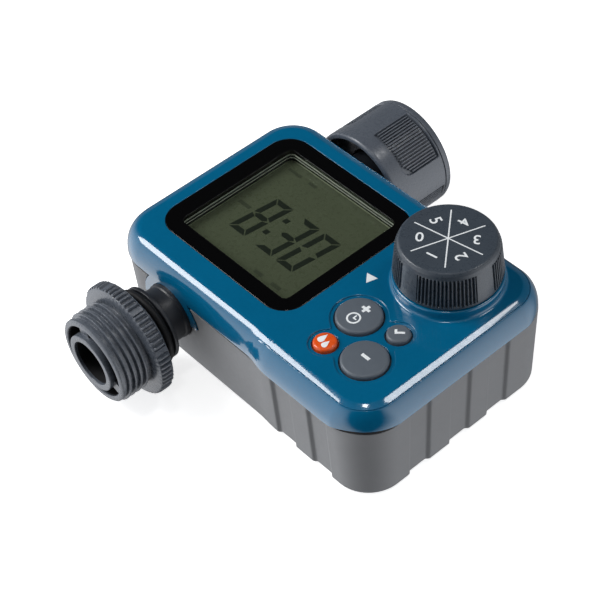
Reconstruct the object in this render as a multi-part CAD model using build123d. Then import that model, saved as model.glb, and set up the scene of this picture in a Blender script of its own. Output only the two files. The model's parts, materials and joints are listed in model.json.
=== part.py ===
from build123d import *
import math
import os

# Drip irrigation timer, in millimetres.
# +Z points out of the face, +X runs along the display from left to right, +Y points towards the
# water inlet. The origin is the middle of the case's back face, on which the timer lies.

# ---- driving dimensions -------------------------------------------------------------------------
# case
case_length = 104.0
case_width = 70.8
case_height = 32.5
seam_z = 24.7
corner_radius = 12.5
waist_depth = 1.2
far_waist_depth = 0.5
waist_start = 8.0
waist_end = 13.0
waist_blend = 20.0
flank_radius = 9.5
crown_height = 0.8
crown_taper = 68.0
cover_wall = 2.0
end_seam_z = 26.2
seam_rise_start = 36.0
seam_rise_end = 46.0
arch_radius = 11.0
gasket_height = 1.0
base_top = seam_z - gasket_height
base_inset = 0.9
base_waist_depth = 0.5
base_wall = 2.4
base_floor = 2.2
draft = 2.1
grip_depth = 0.8
grip_width = 6.4
grip_rows_y = (-15.0, -0.5, 13.4)
grip_rows_x = (19.1, 33.0)

# case screws
screw_x = 44.8
screw_y_left = 26.4
screw_y_right = 27.6
screw_radius = 1.45

# display
lens_centre = (-17.05, 1.25)
lens_size = (53.3, 49.9)
lens_corner = 7.2
lens_thickness = 1.3
window_centre = (-16.6, 1.25)
window_size = (43.0, 40.3)
frame_size = (48.8, 44.8)
lcd_size = (46.2, 42.6)
lcd_top = 28.9
lcd_bottom = 27.3
fit_gap = 0.1

# circuit board
board_bottom = 24.2
board_top = 25.4
board_low = (-13.0, -30.4)
board_high = (40.5, 30.4)
board_posts = ((-9.5, 27.6), (-9.5, -27.6), (12.8, -28.2), (16.5, 28.2))

# buttons: centre x, centre y, cap radius
buttons = {
    "plus_button": (22.7, -9.2, 6.3),
    "minus_button": (34.55, -18.4, 6.3),
    "ok_button": (34.4, -6.5, 3.2),
    "manual_button": (23.2, -21.5, 3.2),
}
button_gap = 0.35
button_proud = 0.9
button_travel = 0.8
button_well = 1.3
well_depth = 0.4

# dial
dial_centre = (29.4, 16.3)
boss_radius = 14.95
boss_top = case_height + 2.9
knob_bottom = boss_top + 0.3
knob_top = 47.3
knob_base_radius = 14.4
knob_rim_radius = 13.45
knob_face_radius = 12.4
knob_wall = 1.6
shaft_radius = 3.0
knob_rib_groups = 4
knob_ribs_per_group = 16
knob_rib_step = 4.1
knob_rib_middle = 43.0

# water passage, which runs along Y
water_x = -26.3
water_z = 17.0
neck_radius = 8.0
neck_hole_radius = 8.35
bore_radius = 5.5
chamber_radius = 7.8
ball_radius = 7.0
ball_bore_radius = 4.4
seat_end = 9.4
seat_start = 4.4
valve_end = 30.0

# three-quarter inch pipe thread
thread_crest = 13.22
thread_root = 12.06
thread_pitch = 1.814

# outlet
outlet_nose = -61.8
outlet_sleeve = -60.8
outlet_ring_front = -51.0
outlet_ring_back = -46.4
outlet_ring_radius = 16.35
knurl_groups = 8
knurl_teeth = 7
knurl_step = 5.6
knurl_rise = 0.55
outlet_flange_front = -41.4
nose_bore_radius = 6.7
nose_radius = 8.6
sleeve_bore_radius = 10.9

# inlet
nut_near = 35.6
nut_far = 57.0
nut_radius = 16.6
nut_web_far = 43.7
nut_panels = 4
nut_panel_angle = 57.0
nut_grooves = 17
nut_groove_step = 3.15

# gear train, seen from above: centres, teeth and modules
valve_teeth = 40
valve_module = 0.6
pinion_two_teeth = 12
wheel_teeth = 30
fine_module = 0.5
pinion_teeth = 10
pressure_angle = 20.0
tooth_share = 0.43
gear_two_bearing = 20.0
gear_one_bearing = 40.0
motor_bearing = -50.0
axle_radius = 1.0

# battery bay
bay_low = (16.6, -24.8)
bay_high = (41.0, 24.8)
bay_top = 14.8
bay_wall = 1.2
battery_radius = 5.25
battery_length = 44.5
battery_x = (23.1, 34.5)
battery_z = 7.7
door_thickness = 1.6
door_gap = 0.3


# ---- helpers ------------------------------------------------------------------------------------
def rod(radius, low, high, x=0.0, y=0.0):
    """Upright cylinder from height low to height high."""
    return Pos(x, y, low) * Cylinder(radius, high - low, align=(Align.CENTER, Align.CENTER, Align.MIN))


def block(low, high):
    """Box between two corners."""
    sides = [b - a for a, b in zip(low, high)]
    middle = [(a + b) / 2 for a, b in zip(low, high)]
    return Pos(*middle) * Box(*sides)


def plate(centre, size, corner, low, high):
    """Flat plate with rounded corners between two heights."""
    outline = RectangleRounded(size[0], size[1], corner)
    return extrude(Pos(centre[0], centre[1], low) * outline, amount=high - low)


def turned_up(points, x=0.0, y=0.0):
    """Solid of revolution about an upright axis; points are (radius, height)."""
    face = Plane.XZ * make_face(Polyline(*points, close=True))
    return Pos(x, y, 0) * revolve(face, axis=Axis.Z, revolution_arc=360)


def turned_water(points):
    """Solid of revolution about the water passage; points are (y, radius)."""
    face = make_face(Polyline(*[(radius, y) for y, radius in points], close=True))
    return Pos(water_x, 0, water_z) * revolve(face, axis=Axis.Y, revolution_arc=360)


def around_water(shape, angle):
    """Turn a shape made about the Y axis, with +X outward, to an angle round the water passage."""
    return Pos(water_x, 0, water_z) * Rot(0, -angle, 0) * shape


def ring(radius, thickness, x, y, z):
    """O-ring lying flat."""
    return Pos(x, y, z) * Torus(radius, thickness)


def thread_points(start, count, first, second, direction):
    """Profile of ring threads: points (y, radius) from start, each with its crest at radius first."""
    points = []
    for turn in range(count):
        y = start + direction * turn * thread_pitch
        points.append((y, second))
        points.append((y + direction * 0.42, first))
        points.append((y + direction * 0.96, first))
        points.append((y + direction * 1.38, second))
    return points


def case_outline(inset, near_waist=waist_depth):
    """Plan outline of the case, drawn in from its widest line."""
    end = case_length / 2 - inset
    wide = case_width / 2 - inset
    near = wide - near_waist
    far = wide - far_waist_depth
    right = [(waist_start, -near), (waist_end, -wide), (end, -wide), (end, wide), (waist_end, wide)]
    points = [(-end, -near)] + right + [(waist_start, far), (-end, far)]
    outline = make_face(Polyline(*points, close=True))
    corners = [v for v in outline.vertices() if abs(v.X) > end - 1]
    outline = fillet(corners, corner_radius - inset)
    bends = [v for v in outline.vertices() if waist_start - 1 < v.X < waist_end + 1]
    return fillet(bends, waist_blend)


def below_seam(drop):
    """Everything below the parting line of the case, lowered by a drop; it leaves the arches over the necks."""
    far_end = case_length
    profile = [
        (-far_end, -5),
        (-far_end, seam_z - drop),
        (seam_rise_start, seam_z - drop),
        (seam_rise_end, end_seam_z - drop),
        (far_end, end_seam_z - drop),
        (far_end, -5),
    ]
    half = extrude(Plane.XZ * make_face(Polyline(*profile, close=True)), amount=case_width, both=True)
    radius = arch_radius + drop / 3
    arch = turned_water([(-case_width, 0), (-case_width, radius), (case_width, radius), (case_width, 0)])
    return half - (arch & block((-case_length, -50, water_z), (case_length, 50, 40)))


def tooth_flank(teeth, module, radius):
    """Half angle, in radians, of an involute tooth at a radius."""
    pitch_radius = teeth * module / 2
    base_radius = pitch_radius * math.cos(math.radians(pressure_angle))
    half = tooth_share * math.pi / teeth

    def involute(r):
        slope = math.acos(min(1.0, base_radius / r))
        return math.tan(slope) - slope

    return half + involute(pitch_radius) - involute(max(radius, base_radius))


def gear(teeth, module, phase, low, high, x, y):
    """Spur gear; phase is the direction, in degrees, of the middle of one tooth."""
    pitch_radius = teeth * module / 2
    tip = pitch_radius + 0.85 * module
    root = pitch_radius - 1.2 * module
    levels = [root + (tip - root) * step / 5 for step in range(6)]
    points = []
    for tooth in range(teeth):
        middle = math.radians(phase) + 2 * math.pi * tooth / teeth
        for radius in levels:
            angle = middle - tooth_flank(teeth, module, radius)
            points.append((radius * math.cos(angle), radius * math.sin(angle)))
        for radius in reversed(levels):
            angle = middle + tooth_flank(teeth, module, radius)
            points.append((radius * math.cos(angle), radius * math.sin(angle)))
    outline = make_face(Polyline(*points, close=True))
    return extrude(Pos(x, y, low) * outline, amount=high - low)


def mating_phase(phase, teeth, mate_teeth, bearing):
    """Phase of a gear that meshes with another one in the direction bearing from it."""
    step = 360 / teeth
    past = ((bearing - phase) % step) / step
    return bearing + 180 + (past + 0.5) * 360 / mate_teeth


# ---- case ---------------------------------------------------------------------------------------
crease_z = case_height - crown_height
crease_inset = flank_radius - math.sqrt(flank_radius**2 - (crease_z - seam_z)**2)
screw_places = (
    (-screw_x, -screw_y_left),
    (-screw_x, screw_y_left),
    (screw_x, -screw_y_right),
    (screw_x, screw_y_right),
)


def button_well_shape():
    """Shallow well round the buttons, which follows each of them."""
    well = Part()
    for x, y, radius in buttons.values():
        well += rod(radius + button_well, case_height - well_depth, case_height + 1, x, y)
    x_places = [x for x, _, _ in buttons.values()]
    y_places = [y for _, y, _ in buttons.values()]
    middle = (sum(x_places) / 4, sum(y_places) / 4)
    well += rod(6.5, case_height - well_depth, case_height + 1, middle[0], middle[1])
    return well


def keypad_tray(extra, low, high):
    """Union of upright cylinders that follows the button flanges."""
    tray = Part()
    for x, y, radius in buttons.values():
        tray += rod(radius + 0.75 + extra, low, high, x, y)
    return tray


def top_cover():
    shell = extrude(Pos(0, 0, water_z) * case_outline(0), amount=seam_z - water_z + flank_radius + 0.5)
    shell = fillet(shell.faces().sort_by(Axis.Z)[-1].edges(), flank_radius)
    shell -= block((-80, -80, crease_z), (80, 80, crease_z + 20))
    crown = extrude(Pos(0, 0, crease_z) * case_outline(crease_inset), amount=crown_height, taper=crown_taper)
    crown = fillet(crown.faces().sort_by(Axis.Z)[-1].edges(), 3.0)
    shell += crown
    inside_top = case_height - cover_wall
    inside = extrude(Pos(0, 0, water_z) * case_outline(cover_wall), amount=inside_top - water_z)
    inside = fillet(inside.faces().sort_by(Axis.Z)[-1].edges(), 5.0)
    shell -= inside
    shell -= below_seam(0)
    # raised boss under the dial
    boss = rod(boss_radius, inside_top, boss_top, *dial_centre)
    boss = fillet(boss.faces().sort_by(Axis.Z)[-1].edges(), 0.5)
    shell += boss
    foot = shell.edges().filter_by(GeomType.CIRCLE).filter_by(
        lambda e: abs(e.radius - boss_radius) < 0.01 and abs(e.center().Z - case_height) < 0.01
    )
    shell = fillet(foot, 0.8)
    # wells and holes for the buttons
    shell -= button_well_shape()
    for x, y, radius in buttons.values():
        shell -= rod(radius + button_gap, inside_top - 1, case_height + 1, x, y)
    # dial shaft and its seal
    shell -= rod(shaft_radius + 0.3, inside_top - 1, boss_top + 1, *dial_centre)
    shell -= rod(4.65, 32.2, 33.8, *dial_centre)
    # display
    shell -= plate(lens_centre, lens_size, lens_corner, case_height - lens_thickness, case_height + 1)
    opening = (frame_size[0] + 2 * fit_gap, frame_size[1] + 2 * fit_gap)
    shell -= plate(window_centre, opening, 3.0, inside_top - 1, case_height)
    # screw bosses and board posts
    for x, y in screw_places:
        shell += rod(3.2, seam_z, inside_top + 0.2, x, y)
        shell -= rod(screw_radius + 0.05, seam_z - 1, 29.4, x, y)
    for x, y in board_posts:
        shell += rod(2.1, board_top, inside_top + 0.2, x, y)
        shell -= rod(1.05, board_top - 1, 29.0, x, y)
    # arches over the water necks
    for low, high in ((-45, -25), (25, 45)):
        shell -= turned_water([(low, 0), (low, neck_hole_radius), (high, neck_hole_radius), (high, 0)])
    return shell


def drafted_case(inset):
    """Base shell's outside, leaning in towards the back face."""
    outline = Pos(0, 0, end_seam_z) * case_outline(inset, base_waist_depth)
    body = extrude(outline, amount=end_seam_z, dir=(0, 0, -1), taper=draft)
    return fillet(body.faces().sort_by(Axis.Z)[0].edges(), 1.0)


def grip_zones():
    """Blocks that mark where the sides are sunk for the fingers."""
    half = grip_width / 2
    zones = Part()
    for y in grip_rows_y:
        zones += block((40, y - half, -1), (60, y + half, end_seam_z + 1))
    for x in grip_rows_x:
        for side in (-1, 1):
            y_low, y_high = sorted((side * 25, side * 45))
            zones += block((x - half, y_low, -1), (x + half, y_high, end_seam_z + 1))
    return zones


def base_shell():
    shell = drafted_case(base_inset) - (grip_zones() - drafted_case(base_inset + grip_depth))
    shell &= below_seam(gasket_height)
    cavity = case_outline(base_inset + base_wall)
    shell -= extrude(Pos(0, 0, base_floor) * cavity, amount=case_height)
    # battery bay
    outer_low = (bay_low[0] - bay_wall, bay_low[1] - bay_wall, 0)
    outer_high = (bay_high[0] + bay_wall, bay_high[1] + bay_wall, bay_top + bay_wall)
    shell += block((outer_low[0], outer_low[1], base_floor), outer_high)
    # screw bosses
    for x, y in screw_places:
        shell += rod(3.2, 1.0, seam_z, x, y)
    # cradles under the water passage
    for y in (-22.0, 22.0):
        shell += block((water_x - 11, y - 1, base_floor - 0.5), (water_x + 11, y + 1, water_z))
    shell -= turned_water([(-24, 0), (-24, 8.8), (24, 8.8), (24, 0)])
    shell -= block((*bay_low, -1), (*bay_high, bay_top))
    for x, y in screw_places:
        shell -= rod(screw_radius + 0.25, -1, seam_z + 1, x, y)
        shell -= rod(3.0, -1, 3.0, x, y)
    # slots for the door's tabs
    for y in (-18.0, 18.0):
        shell -= block((bay_low[0] - bay_wall - 0.1, y - 3.4, 1.5), (bay_low[0] + 0.1, y + 3.4, 4.2))
    # holes for the water necks
    for low, high in ((-45, -25), (25, 45)):
        shell -= turned_water([(low, 0), (low, neck_hole_radius), (high, neck_hole_radius), (high, 0)])
    return shell


def case_gasket():
    height = end_seam_z - base_top
    seal = extrude(Pos(0, 0, base_top) * case_outline(1.0), amount=height)
    seal -= extrude(Pos(0, 0, base_top - 1) * case_outline(2.0), amount=height + 2)
    seal &= below_seam(0)
    seal -= below_seam(gasket_height)
    reach = arch_radius + 0.4
    return seal - block((water_x - reach, -45, water_z), (water_x + reach, 45, end_seam_z + 1))


def case_screws():
    screws = []
    for x, y in screw_places:
        head = rod(2.7, 0.9, 3.0, x, y)
        head -= block((x - 2, y - 0.4, 0), (x + 2, y + 0.4, 1.7))
        head -= block((x - 0.4, y - 2, 0), (x + 0.4, y + 2, 1.7))
        screws.append(head + rod(screw_radius, 3.0, 29.0, x, y))
    return screws


# ---- display ------------------------------------------------------------------------------------
def display_lens():
    size = (lens_size[0] - 2 * fit_gap, lens_size[1] - 2 * fit_gap)
    lens = plate(lens_centre, size, lens_corner - fit_gap, case_height - lens_thickness, case_height)
    return chamfer(lens.faces().sort_by(Axis.Z)[-1].edges(), 0.25)


def display_frame():
    top = case_height - lens_thickness
    frame = plate(window_centre, frame_size, 2.9, lcd_bottom, top)
    frame -= plate(window_centre, window_size, 0.8, lcd_bottom - 1, top + 1)
    pocket = (lcd_size[0] + fit_gap, lcd_size[1] + fit_gap)
    return frame - plate(window_centre, pocket, 0.5, lcd_bottom - 1, lcd_top)


def lcd_panel():
    return plate(window_centre, lcd_size, 0.4, lcd_bottom, lcd_top)


def lcd_connector():
    x = window_centre[0] + lcd_size[0] / 2 - 6
    return block((x - 1.2, -16, board_top), (x + 1.2, 18, lcd_bottom))


# ---- circuit board ------------------------------------------------------------------------------
def main_pcb():
    centre = ((board_low[0] + board_high[0]) / 2, (board_low[1] + board_high[1]) / 2)
    size = (board_high[0] - board_low[0], board_high[1] - board_low[1])
    board = plate(centre, size, 2.0, board_bottom, board_top)
    for x, y in board_posts:
        board -= rod(1.25, board_bottom - 1, board_top + 1, x, y)
    return board


def pcb_screws():
    screws = []
    for x, y in board_posts:
        screws.append(rod(2.0, board_bottom - 1.4, board_bottom, x, y) + rod(1.0, board_bottom, 28.6, x, y))
    return screws


def tact_switches():
    switches = []
    for x, y, _ in buttons.values():
        body = block((x - 3, y - 3, board_top), (x + 3, y + 3, 27.0))
        switches.append(body + rod(1.7, 27.0, 27.5, x, y))
    return switches


def rotary_switch():
    x, y = dial_centre
    body = block((x - 6.5, y - 6.5, board_top), (x + 6.5, y + 6.5, 29.6))
    return body - rod(shaft_radius + 0.05, 27.0, 31, x, y)


# ---- buttons ------------------------------------------------------------------------------------
def button(x, y, radius):
    """Crowned cap with a flange that keeps it under the cover, and a stem for its switch."""
    under = case_height - cover_wall
    top = case_height + button_proud
    cap = rod(radius, under - 0.2, top, x, y)
    cap = fillet(cap.faces().sort_by(Axis.Z)[-1].edges(), 0.8)
    flange = rod(radius + 0.75, under - 0.9, under - 0.2, x, y)
    return cap + flange + rod(1.8, 28.6, under - 0.9, x, y)


def keypad_seal():
    """Rubber tray that hangs round the button flanges, with a hole for each stem."""
    under = case_height - cover_wall
    tray = keypad_tray(1.1, 28.0, under) - keypad_tray(0.3, 28.5, under + 1)
    for x, y, _ in buttons.values():
        tray -= rod(2.2, 27, 29, x, y)
    return tray


# ---- dial ---------------------------------------------------------------------------------------
def dial_shaft():
    x, y = dial_centre
    shaft = rod(shaft_radius, 27.2, 44.8, x, y)
    return shaft - block((x + 1.6, y - 4, 38), (x + 4, y + 4, 46))


def dial_knob():
    x, y = dial_centre
    outside = [
        (0, knob_bottom),
        (knob_base_radius - 0.3, knob_bottom),
        (knob_base_radius, knob_bottom + 0.3),
        (knob_rim_radius, knob_top - 1.9),
        (knob_rim_radius - 0.35, knob_top - 0.7),
        (knob_face_radius, knob_top),
        (0, knob_top),
    ]
    knob = turned_up(outside, x, y)
    inside_top = knob_top - knob_wall
    hollow = [
        (5.2, knob_bottom - 1),
        (knob_base_radius - knob_wall, knob_bottom - 1),
        (knob_rim_radius - knob_wall, inside_top),
        (5.2, inside_top),
    ]
    knob -= turned_up(hollow, x, y)
    bore = rod(shaft_radius, knob_bottom - 1, 44.8, x, y)
    bore -= block((x + 1.6, y - 4, 38), (x + 4, y + 4, 46))
    knob -= bore
    ribs = []
    lean = math.degrees(math.atan2(knob_base_radius - knob_rim_radius, knob_top - 1.9 - knob_bottom))
    for group in range(knob_rib_groups):
        for rib in range(knob_ribs_per_group):
            offset = (rib - (knob_ribs_per_group - 1) / 2) * knob_rib_step
            turn = knob_rib_middle + 360 / knob_rib_groups * group + offset
            ridge = Pos(knob_base_radius - 0.1, 0, knob_bottom + 0.8) * Rot(0, -lean, 0) * Cylinder(
                0.42, 8.0, align=(Align.CENTER, Align.CENTER, Align.MIN)
            )
            ribs.append(Pos(x, y, 0) * Rot(0, 0, turn) * ridge)
    return knob + ribs


def shaft_seal():
    return ring(3.85, 0.75, *dial_centre, 33.0)


# ---- water passage ------------------------------------------------------------------------------
def valve_body():
    outside = [
        (-valve_end, 0),
        (-valve_end, 8.8),
        (-12, 8.8),
        (-12, 9.3),
        (12, 9.3),
        (12, 8.8),
        (valve_end, 8.8),
        (valve_end, 0),
    ]
    body = turned_water(outside) + rod(5.0, 6.4, 10.5, water_x, 0)
    passage = [
        (-valve_end - 1, 0),
        (-valve_end - 1, 7.6),
        (-18, 7.6),
        (-18, bore_radius),
        (-seat_end, bore_radius),
        (-seat_end, chamber_radius),
        (valve_end + 1, chamber_radius),
        (valve_end + 1, 0),
    ]
    body -= turned_water(passage)
    body -= rod(2.56, 5, 11, water_x, 0)
    return body - rod(4.05, 6.9, 8.5, water_x, 0)


def valve_ball():
    ball = Pos(water_x, 0, water_z) * Sphere(ball_radius)
    ball -= Pos(water_x, 0, water_z) * Rot(0, 90, 0) * Cylinder(ball_bore_radius, 30)
    return ball - rod(2.5, 5, 11.8, water_x, 0)


def valve_seats():
    seats = []
    clear = Pos(water_x, 0, water_z) * Sphere(ball_radius + 0.05)
    for side in (-1, 1):
        low, high = sorted((side * seat_start, side * seat_end))
        seats.append(turned_water([(low, 4.6), (low, 7.75), (high, 7.75), (high, 4.6)]) - clear)
    return seats


def valve_stem():
    return rod(2.5, 3.9, 11.8, water_x, 0) + rod(1.2, 2.5, 3.9, water_x, 0)


def stem_seal():
    return ring(3.3, 0.7, water_x, 0, 7.7)


def outlet_spigot():
    profile = [
        (-18.2, bore_radius),
        (-18.2, 7.55),
        (-valve_end, 7.55),
        (-valve_end, neck_radius),
        (-40.2, neck_radius),
        (-40.2, 10.7),
        (-40.5, 11.0),
        (outlet_flange_front, 11.0),
        (outlet_flange_front, 9.6),
        (-49.6, 9.6),
        (-49.6, bore_radius),
    ]
    return turned_water(profile)


def outlet_seal():
    return Pos(water_x, -43.0, water_z) * Rot(90, 0, 0) * Torus(10.55, 0.95)


def outlet_adaptor():
    thread = thread_points(-58.9, 4, thread_crest, thread_root, 1)
    profile = [(outlet_sleeve, sleeve_bore_radius), (outlet_sleeve, 12.4), (-60.4, 12.8), (-59.3, 12.8)]
    profile += thread
    profile += [
        (outlet_ring_front, thread_root),
        (outlet_ring_front, outlet_ring_radius - 0.9),
        (outlet_ring_front + 0.7, outlet_ring_radius),
        (outlet_ring_back - 0.5, outlet_ring_radius),
        (outlet_ring_back, outlet_ring_radius - 0.6),
        (outlet_ring_back, 11.8),
        (-44.6, 11.8),
        (-44.6, 9.7),
        (-50.2, 9.7),
        (-50.2, nose_bore_radius),
        (outlet_nose, nose_bore_radius),
        (outlet_nose, nose_radius - 0.3),
        (outlet_nose + 0.3, nose_radius),
        (-52.0, nose_radius),
        (-52.0, sleeve_bore_radius),
    ]
    adaptor = turned_water(profile)
    web = block((nose_radius - 0.2, -59.6, -1.9), (sleeve_bore_radius + 0.3, -51.8, 1.9))
    for angle in (105, -22):
        adaptor += around_water(web, angle)
    teeth = []
    low = outlet_ring_front + 0.5
    high = outlet_ring_back - 0.4
    tooth = block((outlet_ring_radius - 0.5, low, -0.4), (outlet_ring_radius + knurl_rise, high, 0.4))
    for group in range(knurl_groups):
        for step in range(knurl_teeth):
            offset = (step - (knurl_teeth - 1) / 2) * knurl_step
            teeth.append(around_water(tooth, 360 / knurl_groups * group + offset))
    return adaptor + teeth


def inlet_spigot():
    profile = [
        (seat_end, bore_radius),
        (seat_end, 7.75),
        (valve_end, 7.75),
        (valve_end, neck_radius),
        (43.95, neck_radius),
        (43.95, 12.2),
        (46.4, 12.2),
        (46.4, bore_radius),
    ]
    return turned_water(profile)


def inlet_nut():
    thread = thread_points(49.4, 4, thread_root, thread_crest, 1)
    profile = [
        (nut_near, 14.9),
        (nut_near, nut_radius - 0.5),
        (nut_near + 0.4, nut_radius - 0.05),
        (54.4, nut_radius),
        (54.4, nut_radius - 0.4),
        (54.9, nut_radius - 0.4),
        (54.9, nut_radius - 0.15),
        (56.2, nut_radius - 0.2),
        (nut_far, nut_radius - 0.9),
        (nut_far, 13.6),
    ]
    profile += list(reversed(thread))
    profile += [(48.9, 12.8), (nut_web_far, 12.8), (nut_web_far, 8.5), (40.9, 8.5), (40.9, 14.9)]
    nut = turned_water(profile)
    grooves = []
    middle = (nut_grooves - 1) / 2
    for panel in range(nut_panels):
        for groove in range(nut_grooves):
            across = (groove - middle) / middle
            start = 41.0 + 2.2 * abs(across)
            cut = block((nut_radius - 0.45, start, -0.3), (nut_radius + 1, 53.8, 0.3))
            turn = nut_panel_angle + 360 / nut_panels * panel + (groove - middle) * nut_groove_step
            grooves.append(around_water(cut, turn))
    return nut - grooves


def inlet_washer():
    return turned_water([(46.4, 7.0), (46.4, 12.3), (48.4, 12.3), (48.4, 7.0)])


def filter_screen():
    profile = [(36.0, 0), (36.0, 5.3), (46.4, 5.3), (46.4, 6.8), (47.0, 6.8), (47.0, 4.8), (36.6, 4.8), (36.6, 0)]
    cup = turned_water(profile)
    slots = [around_water(block((4, 38, -0.6), (6, 45, 0.6)), 30 * step) for step in range(12)]
    return cup - slots


def neck_seals():
    seals = []
    for side in (-1, 1):
        low, high = sorted((side * valve_end, side * (valve_end + 0.9)))
        seals.append(turned_water([(low, neck_radius), (low, 10.2), (high, 10.2), (high, neck_radius)]))
    return seals


# ---- gear train ---------------------------------------------------------------------------------
def step_from(centre, distance, bearing):
    """Point at a distance and bearing, in degrees, from a centre."""
    angle = math.radians(bearing)
    return (centre[0] + distance * math.cos(angle), centre[1] + distance * math.sin(angle))


valve_centre = (water_x, 0.0)
gear_two_centre = step_from(valve_centre, valve_module * (valve_teeth + pinion_two_teeth) / 2, gear_two_bearing)
fine_distance = fine_module * (wheel_teeth + pinion_teeth) / 2
gear_one_centre = step_from(gear_two_centre, fine_distance, gear_one_bearing)
motor_centre = step_from(gear_one_centre, fine_distance, motor_bearing)
pinion_two_phase = mating_phase(0, valve_teeth, pinion_two_teeth, gear_two_bearing)
pinion_one_phase = mating_phase(0, wheel_teeth, pinion_teeth, gear_one_bearing)
motor_phase = mating_phase(0, wheel_teeth, pinion_teeth, motor_bearing)
gearbox_posts = ((9.0, 18.4), (10.6, -4.6), (-13.5, 18.4))


def valve_gear():
    wheel = gear(valve_teeth, valve_module, 0, 3.9, 6.1, *valve_centre)
    return wheel - rod(2.5, 3, 7, *valve_centre)


def second_gear():
    pinion = gear(pinion_two_teeth, valve_module, pinion_two_phase, 3.9, 6.7, *gear_two_centre)
    wheel = gear(wheel_teeth, fine_module, 0, 6.7, 8.5, *gear_two_centre)
    both = pinion + wheel + rod(1.5, 8.5, 11.8, *gear_two_centre)
    return both - rod(axle_radius + 0.05, 3, 13, *gear_two_centre)


def first_gear():
    pinion = gear(pinion_teeth, fine_module, pinion_one_phase, 6.5, 9.3, *gear_one_centre)
    wheel = gear(wheel_teeth, fine_module, 0, 9.3, 11.1, *gear_one_centre)
    hubs = rod(1.8, 3.6, 6.5, *gear_one_centre) + rod(1.8, 11.1, 11.8, *gear_one_centre)
    return pinion + wheel + hubs - rod(axle_radius + 0.05, 3, 13, *gear_one_centre)


def motor_pinion():
    pinion = gear(pinion_teeth, fine_module, motor_phase, 9.1, 11.3, *motor_centre)
    return pinion - rod(0.75, 8, 12, *motor_centre)


def motor_shaft():
    return rod(0.75, 8.8, 15.0, *motor_centre)


def gear_axles():
    return [rod(axle_radius, 2.4, 12.8, *centre) for centre in (gear_two_centre, gear_one_centre)]


def gearbox_plate():
    low = base_floor
    high = low + 1.2
    base = block((-18, -8, low), (13.5, 20.7, high)) + block((-31, -5, low), (-18, 5, high))
    base -= rod(1.25, 0, 5, *valve_centre)
    for centre in (gear_two_centre, gear_one_centre):
        base -= rod(axle_radius, low + 0.2, 5, *centre)
    for x, y in gearbox_posts:
        base -= rod(1.05, 0, 5, x, y)
    return base


def gear_cover():
    low = 12.0
    high = 13.2
    top = block((-16.6, -8, low), (13.5, 20.7, high))
    for x, y in gearbox_posts:
        top += rod(2.0, base_floor + 1.2, low, x, y)
        top -= rod(1.05, 0, high + 1, x, y)
    for centre in (gear_two_centre, gear_one_centre):
        top -= rod(axle_radius, low - 1, 12.8, *centre)
    return top - rod(1.2, low - 1, high + 1, *motor_centre)


def drive_motor():
    x, y = motor_centre
    can = rod(7.75, 13.2, 22.0, x, y)
    can = fillet(can.faces().sort_by(Axis.Z)[-1].edges(), 0.8)
    can -= rod(0.8, 12, 16, x, y)
    for side in (-3.0, 3.0):
        can += block((x + side - 0.9, y - 0.3, 21.5), (x + side + 0.9, y + 0.3, 23.0))
    return can


def gearbox_screws():
    return [rod(1.9, 13.2, 14.4, x, y) + rod(1.0, base_floor + 0.2, 13.2, x, y) for x, y in gearbox_posts]


# ---- batteries ----------------------------------------------------------------------------------
def along_y(radius, low, high, x, z):
    """Cylinder along Y."""
    return Pos(x, (low + high) / 2, z) * Rot(90, 0, 0) * Cylinder(radius, high - low)


def batteries():
    cells = []
    for x, side in zip(battery_x, (1, -1)):
        tip = side * (bay_high[1] - 0.6)
        shoulder = tip - side * 0.8
        foot = tip - side * battery_length
        can = along_y(battery_radius, *sorted((shoulder, foot)), x, battery_z)
        cells.append(can + along_y(1.9, *sorted((shoulder, tip)), x, battery_z))
    return cells


def battery_springs():
    springs = []
    for x, side in zip(battery_x, (1, -1)):
        foot = side * (bay_high[1] - 0.6 - battery_length)
        wall = -side * bay_high[1]
        wire = 0.3
        reach = abs(wall - foot) - 0.5 - 2 * wire
        path = Helix(pitch=reach / 3, height=reach, radius=3.0)
        coil = sweep(Plane(path @ 0, z_dir=path % 0) * Circle(wire), path=path)
        coil = Rot(-90 * side, 0, 0) * coil
        coil = Pos(x, wall + side * (0.5 + wire), battery_z) * coil
        base = block(
            (x - 4, min(wall, wall + side * 0.6), battery_z - 4),
            (x + 4, max(wall, wall + side * 0.6), battery_z + 4),
        )
        springs.append(base + coil)
    return springs


def battery_plates():
    tabs = []
    for x, side in zip(battery_x, (1, -1)):
        low, high = sorted((side * (bay_high[1] - 0.6), side * bay_high[1]))
        tabs.append(block((x - 4, low, battery_z - 4), (x + 4, high, battery_z + 4)))
    return tabs


def battery_door():
    low = (bay_low[0] + door_gap, bay_low[1] + door_gap, 0)
    high = (bay_high[0] - door_gap, bay_high[1] - door_gap, door_thickness)
    door = block(low, high)
    door = chamfer(door.faces().sort_by(Axis.Z)[0].edges(), 0.2)
    for y in (-18.0, 18.0):
        door += block((low[0] - 1.1, y - 3, door_thickness), (low[0] + 1.5, y + 3, door_thickness + 1.0))
    # finger groove beside the free edge
    groove = Pos(high[0] - 3, 0, 0) * Rot(90, 0, 0) * Cylinder(0.7, 14)
    return door - groove


def door_seal():
    centre = ((bay_low[0] + bay_high[0]) / 2, 0)
    outer = (bay_high[0] - bay_low[0] - 1.0, bay_high[1] - bay_low[1] - 1.0)
    inner = (outer[0] - 1.4, outer[1] - 1.4)
    low = door_thickness
    seal = plate(centre, outer, 1.5, low, low + 0.5) - plate(centre, inner, 1.0, low - 1, low + 2)
    for y in (-18.0, 18.0):
        seal -= block((bay_low[0] - 1, y - 3.2, low - 1), (bay_low[0] + 2.2, y + 3.2, low + 2))
    return seal


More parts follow.
